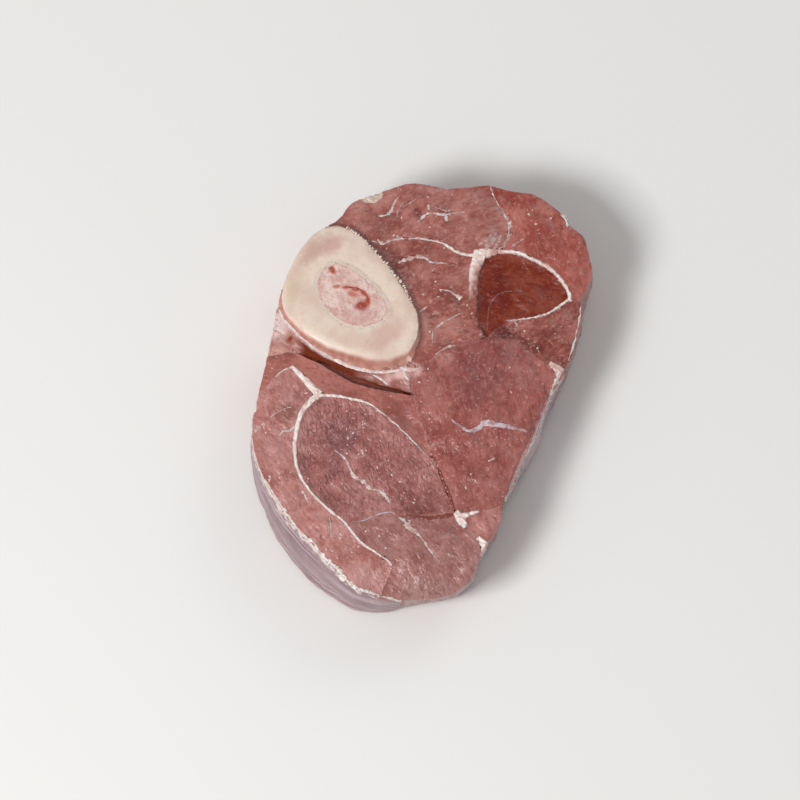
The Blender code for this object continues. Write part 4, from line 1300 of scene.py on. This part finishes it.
def fleck_and_glint_tree(name):
    """Sows small flat beads over the faces of the slice that look the way given, thickest in a few patches.
    """
    tree, given = new_tree(name, {"Facing": 1.0, "Per Square Metre": 8e5, "Thickness": 0.5, "Seed": 4})
    whole = gathered(tree, given)
    place = position(tree)
    upward = parts(tree, add(tree, "GeometryNodeInputNormal", {}).outputs["Normal"])[2]
    facing = maths(tree, "GREATER_THAN", times(tree, upward, given["Facing"]), 0.85)
    level = vectors(tree, "MULTIPLY", place, LEVEL)
    share = 0.03
    for u, v, reach, weight in FLECK_AND_GLINT_PATCHES:
        away = distance(tree, level, (*on_face(u, v), 0))
        far, close = 1.2 * reach * PIXEL, 0.2 * reach * PIXEL
        share = plus(tree, share, between(tree, away, far, close, 0.0, weight))
    share = times(tree, share, between(tree, noise(tree, place, 2.5 * MM, 2.0), 0.4, 0.6))
    sown = add(tree, "GeometryNodeDistributePointsOnFaces", {
        "Mesh": whole,
        "Selection": facing,
        "Density": times(tree, given["Per Square Metre"], share),
        "Seed": given["Seed"],
    }).outputs["Points"]
    half = any_between(tree, 0.08 * MM, 0.32 * MM, 1)
    long = any_between(tree, 1.0, 2.2, 2)
    turn = any_between(tree, 0.0, math.pi, 3)
    size = scaled(tree, vector(tree, long, 1.0, given["Thickness"]), half)
    end_tree(tree, scattered(tree, sown, ball(tree), vector(tree, z=turn), size), given)
    return tree


FLECK_AND_GLINT_TREE = fleck_and_glint_tree("fat flecks")
for name, sizes in (
    ("flecks", {}),
    ("flecks_underneath", {"Facing": -1.0, "Thickness": 0.12, "Seed": 9}),
):
    bare = placed(name, bpy.data.meshes.new(name))
    piece = settled(bare, FLECK_AND_GLINT_TREE, WHITE_THREAD, {**sizes, "Collection": slice_pieces})
    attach(piece, "root")
bpy.data.collections.remove(slice_pieces)


# Floor, light and camera
# A plain pale floor, one large soft light in front and to the left, a weak one behind, and the
# camera in front, looking down at the slice as the photograph does.
floor_mesh = bpy.data.meshes.new("floor")
HALF_FLOOR = 3.0
FLOOR_BELOW = 0.12 * MM
floor_mesh.from_pydata(
    [(x * HALF_FLOOR, y * HALF_FLOOR, -FLOOR_BELOW) for x, y in ((-1, -1), (1, -1), (1, 1), (-1, 1))],
    [], [(0, 1, 2, 3)])
floor_material, _, floor_shader, _ = new_material("pale floor")
floor_shader.inputs["Base Color"].default_value = paint(232, 231, 229)
floor_shader.inputs["Roughness"].default_value = 0.7
floor_mesh.materials.append(floor_material)
floor = placed("floor", floor_mesh)

world = bpy.data.worlds.new("studio")
world.use_nodes = True
world.node_tree.nodes["Background"].inputs["Color"].default_value = (1, 1, 1, 1)
world.node_tree.nodes["Background"].inputs["Strength"].default_value = 0.38
bpy.context.scene.world = world

VIEWED = Vector((-7.05 * MM, -4.42 * MM, 26 * MM))


def aimed(name, data, place):
    """An object at a place, turned towards the slice."""
    made = placed(name, data)
    made.location = place
    made.rotation_euler = (VIEWED - made.location).to_track_quat("-Z", "Y").to_euler()
    return made


for name, place, size, watts in (
    ("soft_light_in_front", (-0.85, -0.7, 1.2), 0.5, 20.0),
    ("soft_light_behind", (0.7, 0.9, 1.0), 0.8, 3.0),
):
    lamp = bpy.data.lights.new(name, "AREA")
    lamp.size = size
    lamp.energy = watts
    aimed(name, lamp, place)

CAMERA_AWAY = 5.0
FRAME_WIDTH = 800 * PIXEL
camera_data = bpy.data.cameras.new("camera")
camera_data.lens = camera_data.sensor_width * CAMERA_AWAY / FRAME_WIDTH
camera = aimed("camera", camera_data, VIEWED + CAMERA_AWAY * Vector((0, -math.cos(TILT), math.sin(TILT))))
bpy.context.scene.camera = camera
bpy.context.scene.view_settings.view_transform = "Standard"
